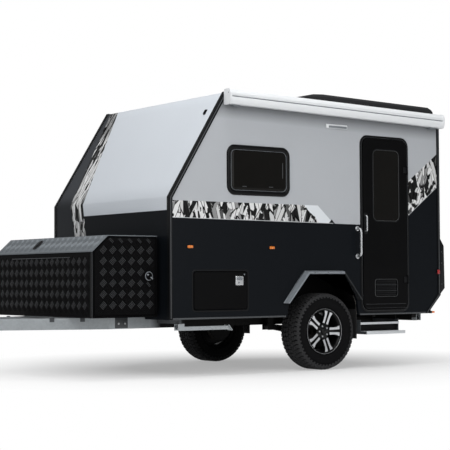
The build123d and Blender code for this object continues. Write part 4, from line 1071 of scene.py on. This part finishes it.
def awning():
    """The awning's cassette: a case in two halves, its groove, end caps and brackets."""
    low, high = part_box("awning_cassette")
    half = (high.x - low.x) / 2 - 0.037
    deep = (high.y - low.y) / 2
    tall = AWNING_HALF_TALL
    middle = (low + high) / 2 + Vector((0.013, 0, 0))
    turn = Matrix.Translation(middle) @ Matrix.Rotation(ROOF_TILT, 4, "Y")
    piece = Piece(AWNING_WHITE, PALE_GREY_AND_HIGHLIGHT)

    def bar(start, end, points, paint, corner):
        bm = bmesh.new()
        bm.faces.new([bm.verts.new((start, y, z)) for y, z in points])
        soften(bm, bm.verts, corner, 5, "VERTICES")
        thicken(bm, (end - start, 0, 0))
        piece.add(bm, paint, [turn])

    back, front = deep - 0.004, -deep + 0.004
    upper = [(back, 0.006), (front + 0.004, 0.006), (front, 0.030), (front + 0.020, tall - 0.004),
             (back, tall)]
    lower = [(back, -tall + 0.004), (front + 0.016, -tall), (front, -0.040), (front + 0.002, -0.002),
             (back, -0.002)]
    groove = [(back, -0.02), (front + 0.012, -0.02), (front + 0.012, 0.02), (back, 0.02)]
    cap = [(deep, -tall - 0.003), (-deep + 0.020, -tall - 0.003), (-deep, -0.036), (-deep, 0.036),
           (-deep + 0.024, tall + 0.002), (deep, tall + 0.003)]
    bar(-half + 0.016, half - 0.016, upper, 0, 0.011)
    bar(-half + 0.016, half - 0.016, lower, 0, 0.009)
    bar(-half + 0.018, half - 0.018, groove, 1, 0.002)
    bar(-half, -half + END_CAP, cap, 0, 0.014)
    bar(half - END_CAP, half, cap, 0, 0.014)
    for x in (-half - 0.0025, half - 0.0005):
        screw = rod((x, -deep + 0.030, 0.036), (x + 0.003, -deep + 0.030, 0.036), 0.005, 14, 0.001)
        piece.add(screw, 1, [turn])
    for x in (-half + BRACKET_IN, half - BRACKET_IN):
        corner = (x - 0.040, back - 0.046, -tall - 0.010)
        piece.add(cuboid(corner, (x + 0.040, back + 0.003, -tall + 0.004), 0.004), 1, [turn])
    piece.finish("awning_case", "trailer", "white_aluminium", ["awning_cassette"])


def awning_lamp():
    """The slim white lamp under the awning, with its grey lens."""
    piece = Piece(AWNING_WHITE, PALE_GREY_AND_HIGHLIGHT)
    front, rear = 1.902, 2.184
    piece.block((front, WALL_Y - 0.016, 2.430), (rear, WALL_Y, 2.472), 0.007, 0, 4)
    piece.block((front + 0.030, WALL_Y - 0.024, 2.434), (rear - 0.014, WALL_Y - 0.012, 2.456), 0.005, 1, 3)
    piece.finish("awning_lamp", "trailer", "white_aluminium")


# Lamps on the side, as (station, height, length, height of the lens, paint, width of the wall there)
SIDE_LAMPS = [(0.229, 1.216, 0.062, 0.026, 0, WALL_Y), (1.201, 1.216, 0.062, 0.026, 0, WALL_Y),
              (3.474, 0.981, 0.034, 0.046, 1, WALL_Y - 0.007)]
TOP_MARKER = (0.522, -0.912)


def markers():
    """Amber side lamps, red corner lamps, the stalk lamps and the slope's top markers."""
    piece = Piece(AMBER, RED, TRIM_BLACK, GLOSS_BLACK)
    for x, height, long, tall, paint, y in SIDE_LAMPS:
        lens_limits = (x - long / 2, x + long / 2, height - tall / 2, height + tall / 2)
        piece.moulding(lens_limits, y, 0.010, LAMP_BASE, 2, 0.005, hollow=False)
        piece.moulding(lens_limits, y - 0.004, 0.008, LAMP_LENS, paint, hollow=False)
    piece.block((3.424, WALL_Y + 0.040, 0.541), (3.464, WALL_Y + 0.074, 0.561), 0.005, 0, 3)
    piece.block((3.396, WALL_Y + 0.042, 0.538), (3.426, WALL_Y + 0.074, 0.564), 0.003, 2)
    piece.block((3.398, WALL_Y + 0.050, 0.558), (3.414, WALL_Y + 0.066, 0.650), 0.003, 2)
    x, y = TOP_MARKER
    turn = Matrix.Rotation(-math.atan2(RISE_TO_ROOF, ROOF_FRONT[0]), 4, "Y")
    slope = moved_to(x, y, BEND + x * RISE_TO_ROOF / ROOF_FRONT[0]) @ turn
    piece.add(cuboid((-0.030, -0.016, -0.001), (0.030, 0.016, 0.007), 0.003), 2, [slope])
    piece.add(cuboid((-0.025, -0.012, 0.006), (0.025, 0.012, 0.016), 0.005, 3), 3, [slope])
    piece.both_sides().finish("marker_lenses", "trailer", "amber_lens", ["marker_lamps"])


SILLS = ((0.030, 1.372), (2.348, 3.290))
RIVET_PITCH = 0.16


def sills():
    """The aluminium angle under the walls, and rivets along the wall's foot."""
    piece = Piece(INSERT_GREY_AND_HIGHLIGHT)
    for front, rear in SILLS:
        piece.block((front, WALL_Y - 0.003, 0.540), (rear, WALL_Y + 0.012, 0.556), 0.0012)
        count = int((rear - front) / RIVET_PITCH)
        pitch = (rear - front - 0.1) / count
        places = [moved_to(front + 0.05 + index * pitch, WALL_Y - 0.003, 0.549) for index in range(count + 1)]
        piece.add(rod((0, 0.001, 0), (0, -0.0022, 0), 0.0036, 10, 0.0008), 0, places)
    piece.both_sides().finish("sill_angles", "trailer", "step_aluminium")


def handle():
    """The bent grab tube ahead of the door, on two round feet."""
    piece = Piece(SATIN_STEEL, TRIM_BLACK)
    x, low, top = 2.318, 1.140, 1.424
    out = WALL_Y - 0.060
    path = [at(x, WALL_Y, low), at(x, out, low), at(x, out, top), at(x, WALL_Y, top)]
    piece.add(tube(path, 0.0135, 0.046))
    for height in (low, top):
        piece.pin(x, height, WALL_Y, WALL_Y - 0.007, 0.026, 28, 0.002)
        for angle in (0.8, 0.8 + math.pi):
            dx, dz = math.cos(angle) * 0.019, math.sin(angle) * 0.019
            piece.pin(x + dx, height + dz, WALL_Y - 0.006, WALL_Y - 0.0085, 0.0035, 10, 0.0, 1)
    piece.finish("grab_tube", "trailer", "polished_tube", ["grab_handle"])


# Five-bar tread: squares of bars, set corner to corner
BAR_PITCH = 0.100
BAR_LENGTH = 0.054
BAR_GAP = 0.0132
BAR_HEIGHT = 0.0016
BAR_HALF_WIDE = 0.0036
BAR_MARGIN = 0.004

# The toolbox: stations of its front and rear, half its width, and its heights
BOX_FRONT = -0.745
BOX_REAR = -0.050
BOX_HALF = 0.931
BOX_LOW = 0.568
BOX_FACE_TOP = 1.174
BOX_TOP = 1.317
BOX_SLOPE = 0.160
BOX_RISE = BOX_TOP - BOX_FACE_TOP


def tread_bars(piece, origin, along, up, wide, tall, inside=None):
    """Raised five-bar tread on a sheet: squares of bars set corner to corner, leaning by turns; the bars
    leaning one way take the first finish, a painted highlight, and the others the second.
    """
    along, up = Vector(along), Vector(up)
    turn = Matrix((along, up, along.cross(up))).transposed().to_4x4()
    reach = BAR_LENGTH / 2 * math.cos(math.radians(45)) + BAR_MARGIN
    corners = [(du, dv) for du in (-reach, reach) for dv in (-reach, reach)]
    places = ([], [])
    for row in range(int(2 * tall / BAR_PITCH) + 2):
        lean = math.radians(45 if row % 2 else -45)
        for column in range(int(wide / BAR_PITCH) + 2):
            for index in range(-2, 3):
                u = (column + (row % 2) * 0.5) * BAR_PITCH - math.sin(lean) * index * BAR_GAP
                v = row * BAR_PITCH / 2 + math.cos(lean) * index * BAR_GAP
                on_sheet = reach < u < wide - reach and reach < v < tall - reach
                if not on_sheet or (inside and not all(inside(u + du, v + dv) for du, dv in corners)):
                    continue
                spot = Matrix.Translation(Vector(origin) + along * u + up * v)
                places[row % 2].append(spot @ turn @ Matrix.Rotation(lean, 4, "Z"))
    # Painted highlight: the rows leaning one way take the first, lighter finish.
    for paint, spots in enumerate(places):
        half = Vector((BAR_LENGTH / 2, BAR_HALF_WIDE, 0))
        bar = cuboid(-half - Vector((0, 0, 0.0006)), half + Vector((0, 0, BAR_HEIGHT)))
        bmesh.ops.scale(bar, vec=(0.88, 0.42, 1), verts=[v for v in bar.verts if v.co.z > 0])
        piece.add(bar, paint, spots)


def toolbox_front():
    """Bars, folded corner angles and the pressed rail on the toolbox's front sheet."""
    piece = Piece(TREAD_BAR_HIGHLIGHT, TREAD_BLACK, CHASSIS_BLACK, INSERT_GREY_AND_HIGHLIGHT)
    origin = at(BOX_FRONT, BOX_HALF - 0.030, BOX_LOW + 0.012)
    tall = BOX_FACE_TOP - BOX_LOW - 0.050
    tread_bars(piece, origin, (0, -1, 0), (0, 0, 1), 2 * BOX_HALF - 0.060, tall)
    top = BOX_FACE_TOP - 0.014
    for hand in (-1, 1):
        y = hand * BOX_HALF
        near, far = sorted((y, y - hand * 0.034))
        piece.block((BOX_FRONT - 0.003, near, BOX_LOW), (BOX_FRONT + 0.002, far, top), 0.0012, 2)
        piece.block((BOX_FRONT - 0.004, y - 0.0012, BOX_LOW), (BOX_FRONT, y + 0.0012, top), 0.0006, 3)
    piece.block((BOX_FRONT - 0.004, -0.536, 1.117), (BOX_FRONT + 0.002, 0.590, 1.122), 0.001, 3)
    corner = (BOX_FRONT - 0.003, -BOX_HALF + 0.004, BOX_LOW)
    piece.block(corner, (BOX_FRONT + 0.002, BOX_HALF - 0.004, BOX_LOW + 0.010), 0.0012, 2)
    piece.finish("toolbox_front_tread", "trailer", "tread_plate")


def toolbox_lid():
    """Bars on the lid's slope and top, and the paddle latch in its round-ended dish."""
    # The lid's grey is painted reflection, and its lighter bars a painted highlight.
    piece = Piece(LID_BAR_HIGHLIGHT, LID_REFLECTION_GREY, TRIM_BLACK, SEAL)
    rise = math.atan2(BOX_RISE, BOX_SLOPE)
    up_slope = (math.cos(rise), 0, math.sin(rise))
    edge = BOX_HALF - 0.010
    fold = BOX_FRONT + BOX_SLOPE
    slope_length = math.hypot(BOX_SLOPE, BOX_RISE)
    tread_bars(piece, at(BOX_FRONT, edge, BOX_FACE_TOP), (0, -1, 0), up_slope, 2 * edge, slope_length)
    tread_bars(piece, at(fold, edge, BOX_TOP), (0, -1, 0), (1, 0, 0), 2 * edge, BOX_REAR - fold)
    up = 0.52
    tilt = moved_to(BOX_FRONT + BOX_SLOPE * up, 0.215, BOX_FACE_TOP + BOX_RISE * up)
    tilt = [tilt @ Matrix.Rotation(-rise, 4, "Y")]
    dish = cuboid((-0.062, -0.042, -0.002), (0.062, 0.042, 0.007))
    soften(dish, [e for e in dish.edges if abs(e.verts[0].co.z - e.verts[1].co.z) > 0.005], 0.036, 8)
    piece.add(dish, 3, tilt)
    piece.add(cuboid((-0.044, -0.024, 0.004), (0.044, 0.024, 0.0105), 0.003), 2, tilt)
    piece.add(rod((0.050, 0, 0.004), (0.050, 0, 0.011), 0.008, 18, 0.001), 2, tilt)
    piece.finish("toolbox_lid_tread", "toolbox_lid", "tread_plate")


# The toolbox door's lock: its (station, height), and turned sections of (radius, width)
BOX_LOCK = (-0.150, 0.945)
LOCK_DISH = [(0.0, -0.017), (0.034, -0.017), (0.042, -0.012), (0.042, 0.0), (0.0, 0.0)]
LOCK_HIGHLIGHT_RING = [(0.0345, -0.0155), (0.0370, -0.0180), (0.0415, -0.0155), (0.0415, -0.0120)]
DOOR_EDGE = 0.014


def toolbox_door(side):
    """Bars and the rotary lock on the toolbox's end door."""
    piece = Piece(TREAD_BAR_HIGHLIGHT, TREAD_BLACK, PALE_GREY_AND_HIGHLIGHT)
    face = -BOX_HALF - 0.002
    front, low = BOX_FRONT + DOOR_EDGE, BOX_LOW + DOOR_EDGE

    def inside(u, v):
        x, height = front + u, low + v
        under = (height - BOX_FACE_TOP + 0.008) * BOX_SLOPE < (x - BOX_FRONT - 0.012) * BOX_RISE
        return under and math.hypot(x - BOX_LOCK[0], height - BOX_LOCK[1]) > 0.050

    wide, tall = BOX_REAR - BOX_FRONT - 2 * DOOR_EDGE, BOX_TOP - BOX_LOW - 2 * DOOR_EDGE
    tread_bars(piece, at(front, face, low), (1, 0, 0), (0, 0, 1), wide, tall, inside)
    centre = at(BOX_LOCK[0], face, BOX_LOCK[1])
    piece.add(turned(LOCK_DISH, centre, 40), 1)
    # Painted highlight: the pale ring round the lock's rim.
    piece.add(turned(LOCK_HIGHLIGHT_RING, centre, 40), 2)
    turn = Matrix.Translation(centre - Vector((0, 0.016, 0))) @ Matrix.Rotation(math.radians(38), 4, "Y")
    piece.add(cuboid((-0.028, -0.010, -0.007), (0.046, 0.0, 0.007), 0.003, 3), 2, [turn])
    piece.add(rod((0, 0.002, 0), (0, -0.013, 0), 0.014, 24, 0.002), 1, [turn])
    piece.on_side(side).finish("toolbox_door_tread_" + side, "toolbox_door_" + side, "tread_plate")


RAIL_HALF = 0.645
RAIL_LEAN = math.radians(25.0)


def drawbar_brackets():
    """Under the toolbox: its mounting plates on the drawbar's rails, with bolts, and small clips."""
    piece = Piece(INSERT_GREY_AND_HIGHLIGHT, PLATED)
    rail = -RAIL_HALF - 0.003
    piece.block((-0.330, rail, 0.462), (-0.190, rail + 0.006, 0.566), 0.002)
    for x in (-0.295, -0.225):
        piece.pin(x, 0.505, rail, rail - 0.009, 0.0105, 6, 0.0015, 1)
    for along in (0.24, 0.52):
        x, y = -0.400 - along * math.cos(RAIL_LEAN), -RAIL_HALF + along * math.sin(RAIL_LEAN)
        turn = moved_to(x, y, 0.545) @ Matrix.Rotation(-RAIL_LEAN, 4, "Z")
        piece.add(cuboid((-0.022, -0.008, -0.018), (0.022, 0.004, 0.0225), 0.002), 0, [turn])
    piece.both_sides().finish("toolbox_mounts", "trailer", "galvanised_steel")


SKIRT_HEIGHT = 0.0215
SKIRT_INSET = 0.012


def skirt():
    """The pop-top's pleated skirt: zigzag folds between the roof and the lid."""
    low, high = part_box("poptop_skirt")
    centre = (low + high) / 2
    half_x = (high.x - low.x) / 2 - SKIRT_INSET
    half_y = (high.y - low.y) / 2 - SKIRT_INSET
    folds = 8
    fold = 0.040
    base = roof_line(centre.x - FRONT_X) + GROUND + 0.001
    slope = math.tan(ROOF_TILT)
    bm = bmesh.new()
    loops = []
    for index in range(folds + 1):
        inset = fold if index % 2 else 0.0
        height = base + SKIRT_HEIGHT * index / folds
        verts = []
        for cx, cy in ((-1, -1), (1, -1), (1, 1), (-1, 1)):
            x = cx * (half_x - inset)
            y = cy * (half_y - inset)
            verts.append(bm.verts.new((centre.x + x, y, height - x * slope)))
        loops.append([bm.edges.new(pair) for pair in zip(verts, verts[1:] + verts[:1])])
    for first, second in zip(loops, loops[1:]):
        bmesh.ops.bridge_loops(bm, edges=first + second)
    bmesh.ops.recalc_face_normals(bm, faces=bm.faces)
    long_edges = [e for e in bm.edges if e.calc_length() > 0.5]
    bmesh.ops.subdivide_edges(bm, edges=long_edges, cuts=12, use_grid_fill=True)
    obj = placed("poptop_bellows", mesh_of("poptop_bellows", bm, SKIRT))
    square = SKIRT_HEIGHT / (1 + slope * slope)
    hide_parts("poptop_skirt")
    base + square
    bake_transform(obj)


LID_FRONT = 1.518
LID_TOP = 0.118
LID_HALF = 1.000
RIB_SPACING = 0.26


def lid_details():
    """Pressed ribs on the lifting roof lid, and clamps with rubber pins along its sides."""
    piece = Piece(LID_GREY, SEAL)
    foot = [moved_to(LID_FRONT, 0, roof_line(LID_FRONT)) @ Matrix.Rotation(ROOF_TILT, 4, "Y")]
    for index in range(-3, 4):
        y = index * RIB_SPACING
        rib = cuboid((0.46, y - 0.016, LID_TOP - 0.003), (1.88, y + 0.016, LID_TOP + 0.0045), 0.003)
        piece.add(rib, 0, foot)
    for x in (0.35, 1.00, 1.62):
        for hand in (-1, 1):
            near, far = sorted((hand * LID_HALF, hand * (LID_HALF + 0.007)))
            piece.add(cuboid((x - 0.028, near, 0.016), (x + 0.028, far, 0.072), 0.003), 0, foot)
            y = hand * (LID_HALF + 0.007)
            piece.add(rod((x - 0.022, y, 0.030), (x + 0.022, y, 0.030), 0.004, 12), 1, foot)
    piece.finish("lid_ribs_and_clamps", "poptop", "dark_moulding")


# The rear moulding's face: the station of its foot, that foot's height, and how far it leans in
MOULDING_FOOT = (3.572, 0.806)
MOULDING_LEAN = math.atan2(0.008, 0.453)
MOULDING_END = WALL_Y + 0.036
# The moulding's closed end, as (station, height), and its screws
MOULDING_SIDE = [(3.508, 1.331), (3.514, 1.331), (3.564, 1.259), (3.572, 0.806), (3.508, 0.746)]
MOULDING_SCREWS = (0.850, 1.075, 1.195)
# The lenses in each light unit: low, top, paint
REAR_LENSES = ((0.262, 0.404, 1), (0.166, 0.254, 2), (0.098, 0.158, 3), (0.010, 0.090, 1))


def on_moulding(y, height):
    """A place on the moulding's face, with X out of the face and Z up along it."""
    rise = height - MOULDING_FOOT[1]
    station = MOULDING_FOOT[0] - rise * math.tan(MOULDING_LEAN)
    return [moved_to(station, y, height) @ Matrix.Rotation(-MOULDING_LEAN, 4, "Y")]


def rear_lights():
    """Stop, turn, reverse and tail lenses in a dark housing at each end of the rear moulding."""
    piece = Piece(TRIM_BLACK, RED, AMBER, CLEAR)
    foot = on_moulding(MOULDING_END + 0.020, 0.826)
    piece.add(cuboid((-0.002, 0.0, 0.0), (0.010, 0.130, 0.414), 0.004), 0, foot)
    for low, top, paint in REAR_LENSES:
        piece.add(cuboid((0.006, 0.010, low), (0.0145, 0.120, top), 0.004, 3), paint, foot)
    piece.both_sides().finish("rear_light_units", "trailer", "red_lens", ["rear_lamps"])


def number_plate():
    """On the rear moulding: a blank plate on its holder, and the small lamp over it."""
    piece = Piece(TRIM_BLACK, AWNING_WHITE, CLEAR)
    foot = on_moulding(0.0, 0.900)
    piece.add(cuboid((-0.001, -0.270, 0.0), (0.003, 0.270, 0.130), 0.001), 0, foot)
    piece.add(cuboid((0.002, -0.260, 0.010), (0.0045, 0.260, 0.120), 0.0008), 1, foot)
    piece.add(cuboid((-0.001, -0.050, 0.138), (0.009, 0.050, 0.160), 0.003, 3), 0, foot)
    piece.add(cuboid((0.001, -0.035, 0.133), (0.008, 0.035, 0.141), 0.002), 2, foot)
    piece.finish("plate_holder", "trailer", "black_trim")


def moulding_ends():
    """The rear moulding's closed ends, flush with the walls, with their screws."""
    piece = Piece(TRIM_BLACK, INSERT_GREY_AND_HIGHLIGHT)
    piece.add(plate(MOULDING_SIDE, MOULDING_END + 0.004, WALL_Y - 0.004, 0.010, 0.004))
    for height in MOULDING_SCREWS:
        piece.pin(3.528, height, WALL_Y - 0.003, WALL_Y - 0.0065, 0.006, 14, 0.001, 1)
    piece.both_sides().finish("moulding_ends", "trailer", "black_trim")


# The middle line of the edge mouldings, as (station, height), from the front foot
INSERT_LINE = [(0.010, 0.556), (0.010, 1.672), (0.643, 2.681), (3.490, 2.625), (3.490, 0.741), (3.301, 0.548)]
TRIM_FACE = WALL_Y - 0.007
SLOPE_SCREWS = 13
FRONT_SCREWS = 7
FRONT_SCREW_PITCH = 0.165


def edge_beads():
    """The grey insert in the middle of each black edge moulding, partly a painted highlight along it, and its
    screws.
    """
    piece = Piece(TRIM_BLACK, INSERT_GREY_AND_HIGHLIGHT)
    for (x, height), (end_x, end_height) in zip(INSERT_LINE, INSERT_LINE[1:]):
        run = math.hypot(end_x - x, end_height - height)
        turn = Matrix.Rotation(-math.atan2(end_height - height, end_x - x), 4, "Y")
        insert = cuboid((-0.003, -0.0018, -0.0045), (run + 0.003, 0.001, 0.0045), 0.0012)
        piece.add(insert, 1, [moved_to(x, TRIM_FACE, height) @ turn])
    places = []
    for index in range(SLOPE_SCREWS):
        t = (index + 0.5) / SLOPE_SCREWS
        places.append(moved_to(ROOF_FRONT[0] * t + 0.012, TRIM_FACE, BEND + RISE_TO_ROOF * t - 0.008))
    for index in range(FRONT_SCREWS):
        places.append(moved_to(0.014, TRIM_FACE, 0.62 + index * FRONT_SCREW_PITCH))
    piece.add(rod((0, 0.001, 0), (0, -0.0016, 0), 0.0040, 12, 0.0006), 0, places)
    piece.both_sides().finish("moulding_screws", "trailer", "black_trim")


# How bright the floor itself is near the trailer, the middle and share along X and Y of the distance
# from it, and the distances between which the floor turns white
FLOOR_GLOW = 0.37
FLOOR_SPREAD = ((3.4, 0.16), (0.0, 0.2))
FLOOR_FADE = (0.5, 1.5)
AMBIENT = 0.33
AMBIENT_TINT = (0.97, 0.985, 1.0, 1)


def floor():
    """A pale floor that keeps the shadow, and is nearly white to the camera away from the trailer."""
    finish = Finish("studio_floor", Roughness=0.9, Specular_IOR_Level=0.0, Base_Color=rgb(236, 236, 236))
    kinds = ("Camera", "Glossy", "Transmission")
    rays = [finish.node("LightPath", output=f"Is {kind} Ray") for kind in kinds]
    seen = rays[0].highest(rays[1]).highest(rays[2])
    (middle_x, spread_x), (middle_y, spread_y) = FLOOR_SPREAD
    x, y = finish.axes()[:2]
    along, across = x - middle_x, y - middle_y
    far = (along * along * spread_x + across * across * spread_y).root()
    levels = {0: far, 1: FLOOR_FADE[0], 2: FLOOR_FADE[1], 3: FLOOR_GLOW, 4: 1.0}
    fade = finish.node("MapRange", {"clamp": True}, levels)
    shaded = Value(finish, finish.shader.outputs[0])
    surface = finish.node("MixShader", {}, {0: seen * fade, 1: shaded, 2: finish.node("Emission")})
    finish.tree.links.new(surface.socket, finish.tree.nodes["Material Output"].inputs["Surface"])
    bm = bmesh.new()
    bmesh.ops.create_grid(bm, x_segments=2, y_segments=2, size=40.0)
    bmesh.ops.translate(bm, vec=(0, 0, GROUND), verts=bm.verts)
    placed("studio_floor", mesh_of("studio_floor", bm, finish.material))


def surround():
    """A white surround for the camera and through glass, and a soft even light for the rest."""
    world = bpy.data.worlds.new("white_surround")
    world.use_nodes = True
    bpy.context.scene.world = world
    nodes, links = world.node_tree.nodes, world.node_tree.links
    ambient = nodes["Background"]
    ambient.inputs["Strength"].default_value = AMBIENT
    ambient.inputs["Color"].default_value = AMBIENT_TINT
    white = nodes.new("ShaderNodeBackground")
    white.inputs["Color"].default_value = (1, 1, 1, 1)
    path = nodes.new("ShaderNodeLightPath")
    either = nodes.new("ShaderNodeMath")
    either.operation = "MAXIMUM"
    links.new(path.outputs["Is Camera Ray"], either.inputs[0])
    links.new(path.outputs["Is Transmission Ray"], either.inputs[1])
    both = nodes.new("ShaderNodeMixShader")
    for slot, node in enumerate((either, ambient, white)):
        links.new(node.outputs[0], both.inputs[slot])
    links.new(both.outputs[0], nodes["World Output"].inputs["Surface"])


CAMERA_YAW = math.radians(36.57)
CAMERA_PITCH = math.radians(2.30)
CAMERA_ROLL = math.radians(-0.276)
CAMERA_PLACE = (-6.963, -11.307, 0.914)
CAMERA_LENS = 107.70


def camera():
    """The photograph's viewpoint: low, ahead of the left front corner."""
    level = math.cos(CAMERA_PITCH)
    ahead = Vector((math.sin(CAMERA_YAW) * level, math.cos(CAMERA_YAW) * level, math.sin(CAMERA_PITCH)))
    right = Vector((math.cos(CAMERA_YAW), -math.sin(CAMERA_YAW), 0))
    up = right.cross(ahead)
    rolled_right = right * math.cos(CAMERA_ROLL) + up * math.sin(CAMERA_ROLL)
    rolled_up = up * math.cos(CAMERA_ROLL) - right * math.sin(CAMERA_ROLL)
    data = bpy.data.cameras.new("photo_camera")
    data.lens = CAMERA_LENS
    data.sensor_width = 36.0
    data.clip_end = 200.0
    obj = placed("photo_camera", data)
    turn = Matrix((rolled_right, rolled_up, -ahead)).transposed().to_4x4()
    obj.matrix_world = moved_to(*CAMERA_PLACE) @ turn
    bpy.context.scene.camera = obj


# Studio lamps: name, place and aim as (station, width, height), size, power
LAMPS = [
    ("key", (-5.0, -6.5, 7.0), (1.2, 0.0, 1.2), 5.0, 320.0),
    ("overhead", (0.2, -1.5, 8.5), (1.2, 0.0, 1.2), 4.0, 300.0),
    ("front_fill", (-7.5, 2.0, 5.0), (0.5, 0.0, 1.5), 4.0, 60.0),
    ("side_fill", (3.0, -9.0, 3.5), (1.8, 0.0, 1.2), 4.5, 150.0),
]


def lamps():
    for name, place, aim, size, power in LAMPS:
        data = bpy.data.lights.new(name, "AREA")
        data.size = size
        data.energy = power
        obj = placed(name, data)
        obj.location = at(*place)
        obj.rotation_euler = (at(*aim) - at(*place)).to_track_quat("-Z", "Y").to_euler()


camera()
lamps()
floor()
surround()

dress(SIDE_PAINT, "wall_left", "wall_right")
dress(FRONT_PAINT, "front_panel", "slope_panel")
dress(ROOF_SKIN, "roof_panel")
dress(REAR_PAINT, "rear_panel", "rear_cut_panel")
# The chassis and rear legs take the zinc with painted shade under the body.
dress(SHADE_DARKENED_ZINC, "chassis_frame", "cross_members", "suspension_brackets", "leg_rear_left", "leg_rear_right")
dress(ZINC, "drawbar", "leg_brackets", "leg_front_left", "leg_front_right")
dress(PLATED, "coupling", "jockey_clamp", "jockey_inner", "jockey_fork")
dress(FLAP, "jockey_wheel", "mudflaps")
dress(DARK_BOARD, "floor_panel", "wheel_boxes")
dress(TRIM_BLACK, "edge_trims", "rear_bumper")
dress(DOOR_BLACK, "door_leaf", "hatch_left", "hatch_right")
dress(PANE, "door_window")
dress(LID_GREY, "poptop_lid")
dress(TREAD_BLACK, "toolbox_shell", "toolbox_door_left", "toolbox_door_right")
# The lid's sheet takes the grey of painted reflection.
dress(LID_REFLECTION_GREY, "toolbox_lid")
dress(CHASSIS_BLACK, "trailing_arms", "coil_springs", "shock_absorbers", "backing_plates", "step_runners")
dress(CAST_IRON, "drum_left", "drum_right")
dress(TANK, "water_tank")
dress(INSERT_GREY_AND_HIGHLIGHT, "step_treads")

for SIDE in ("left", "right"):
    tyre(SIDE)
    alloy_wheel(SIDE)
    hatch_fittings(SIDE)
    toolbox_door(SIDE)
brake_shields_and_shade()
step_edges()
window_units()
door_surround()
door_trims()
door_hardware()
hatch_frames()
flares()
awning()
awning_lamp()
markers()
sills()
handle()
toolbox_front()
toolbox_lid()
drawbar_brackets()
skirt()
lid_details()
rear_lights()
number_plate()
moulding_ends()
edge_beads()

bpy.context.scene.view_settings.view_transform = "Standard"
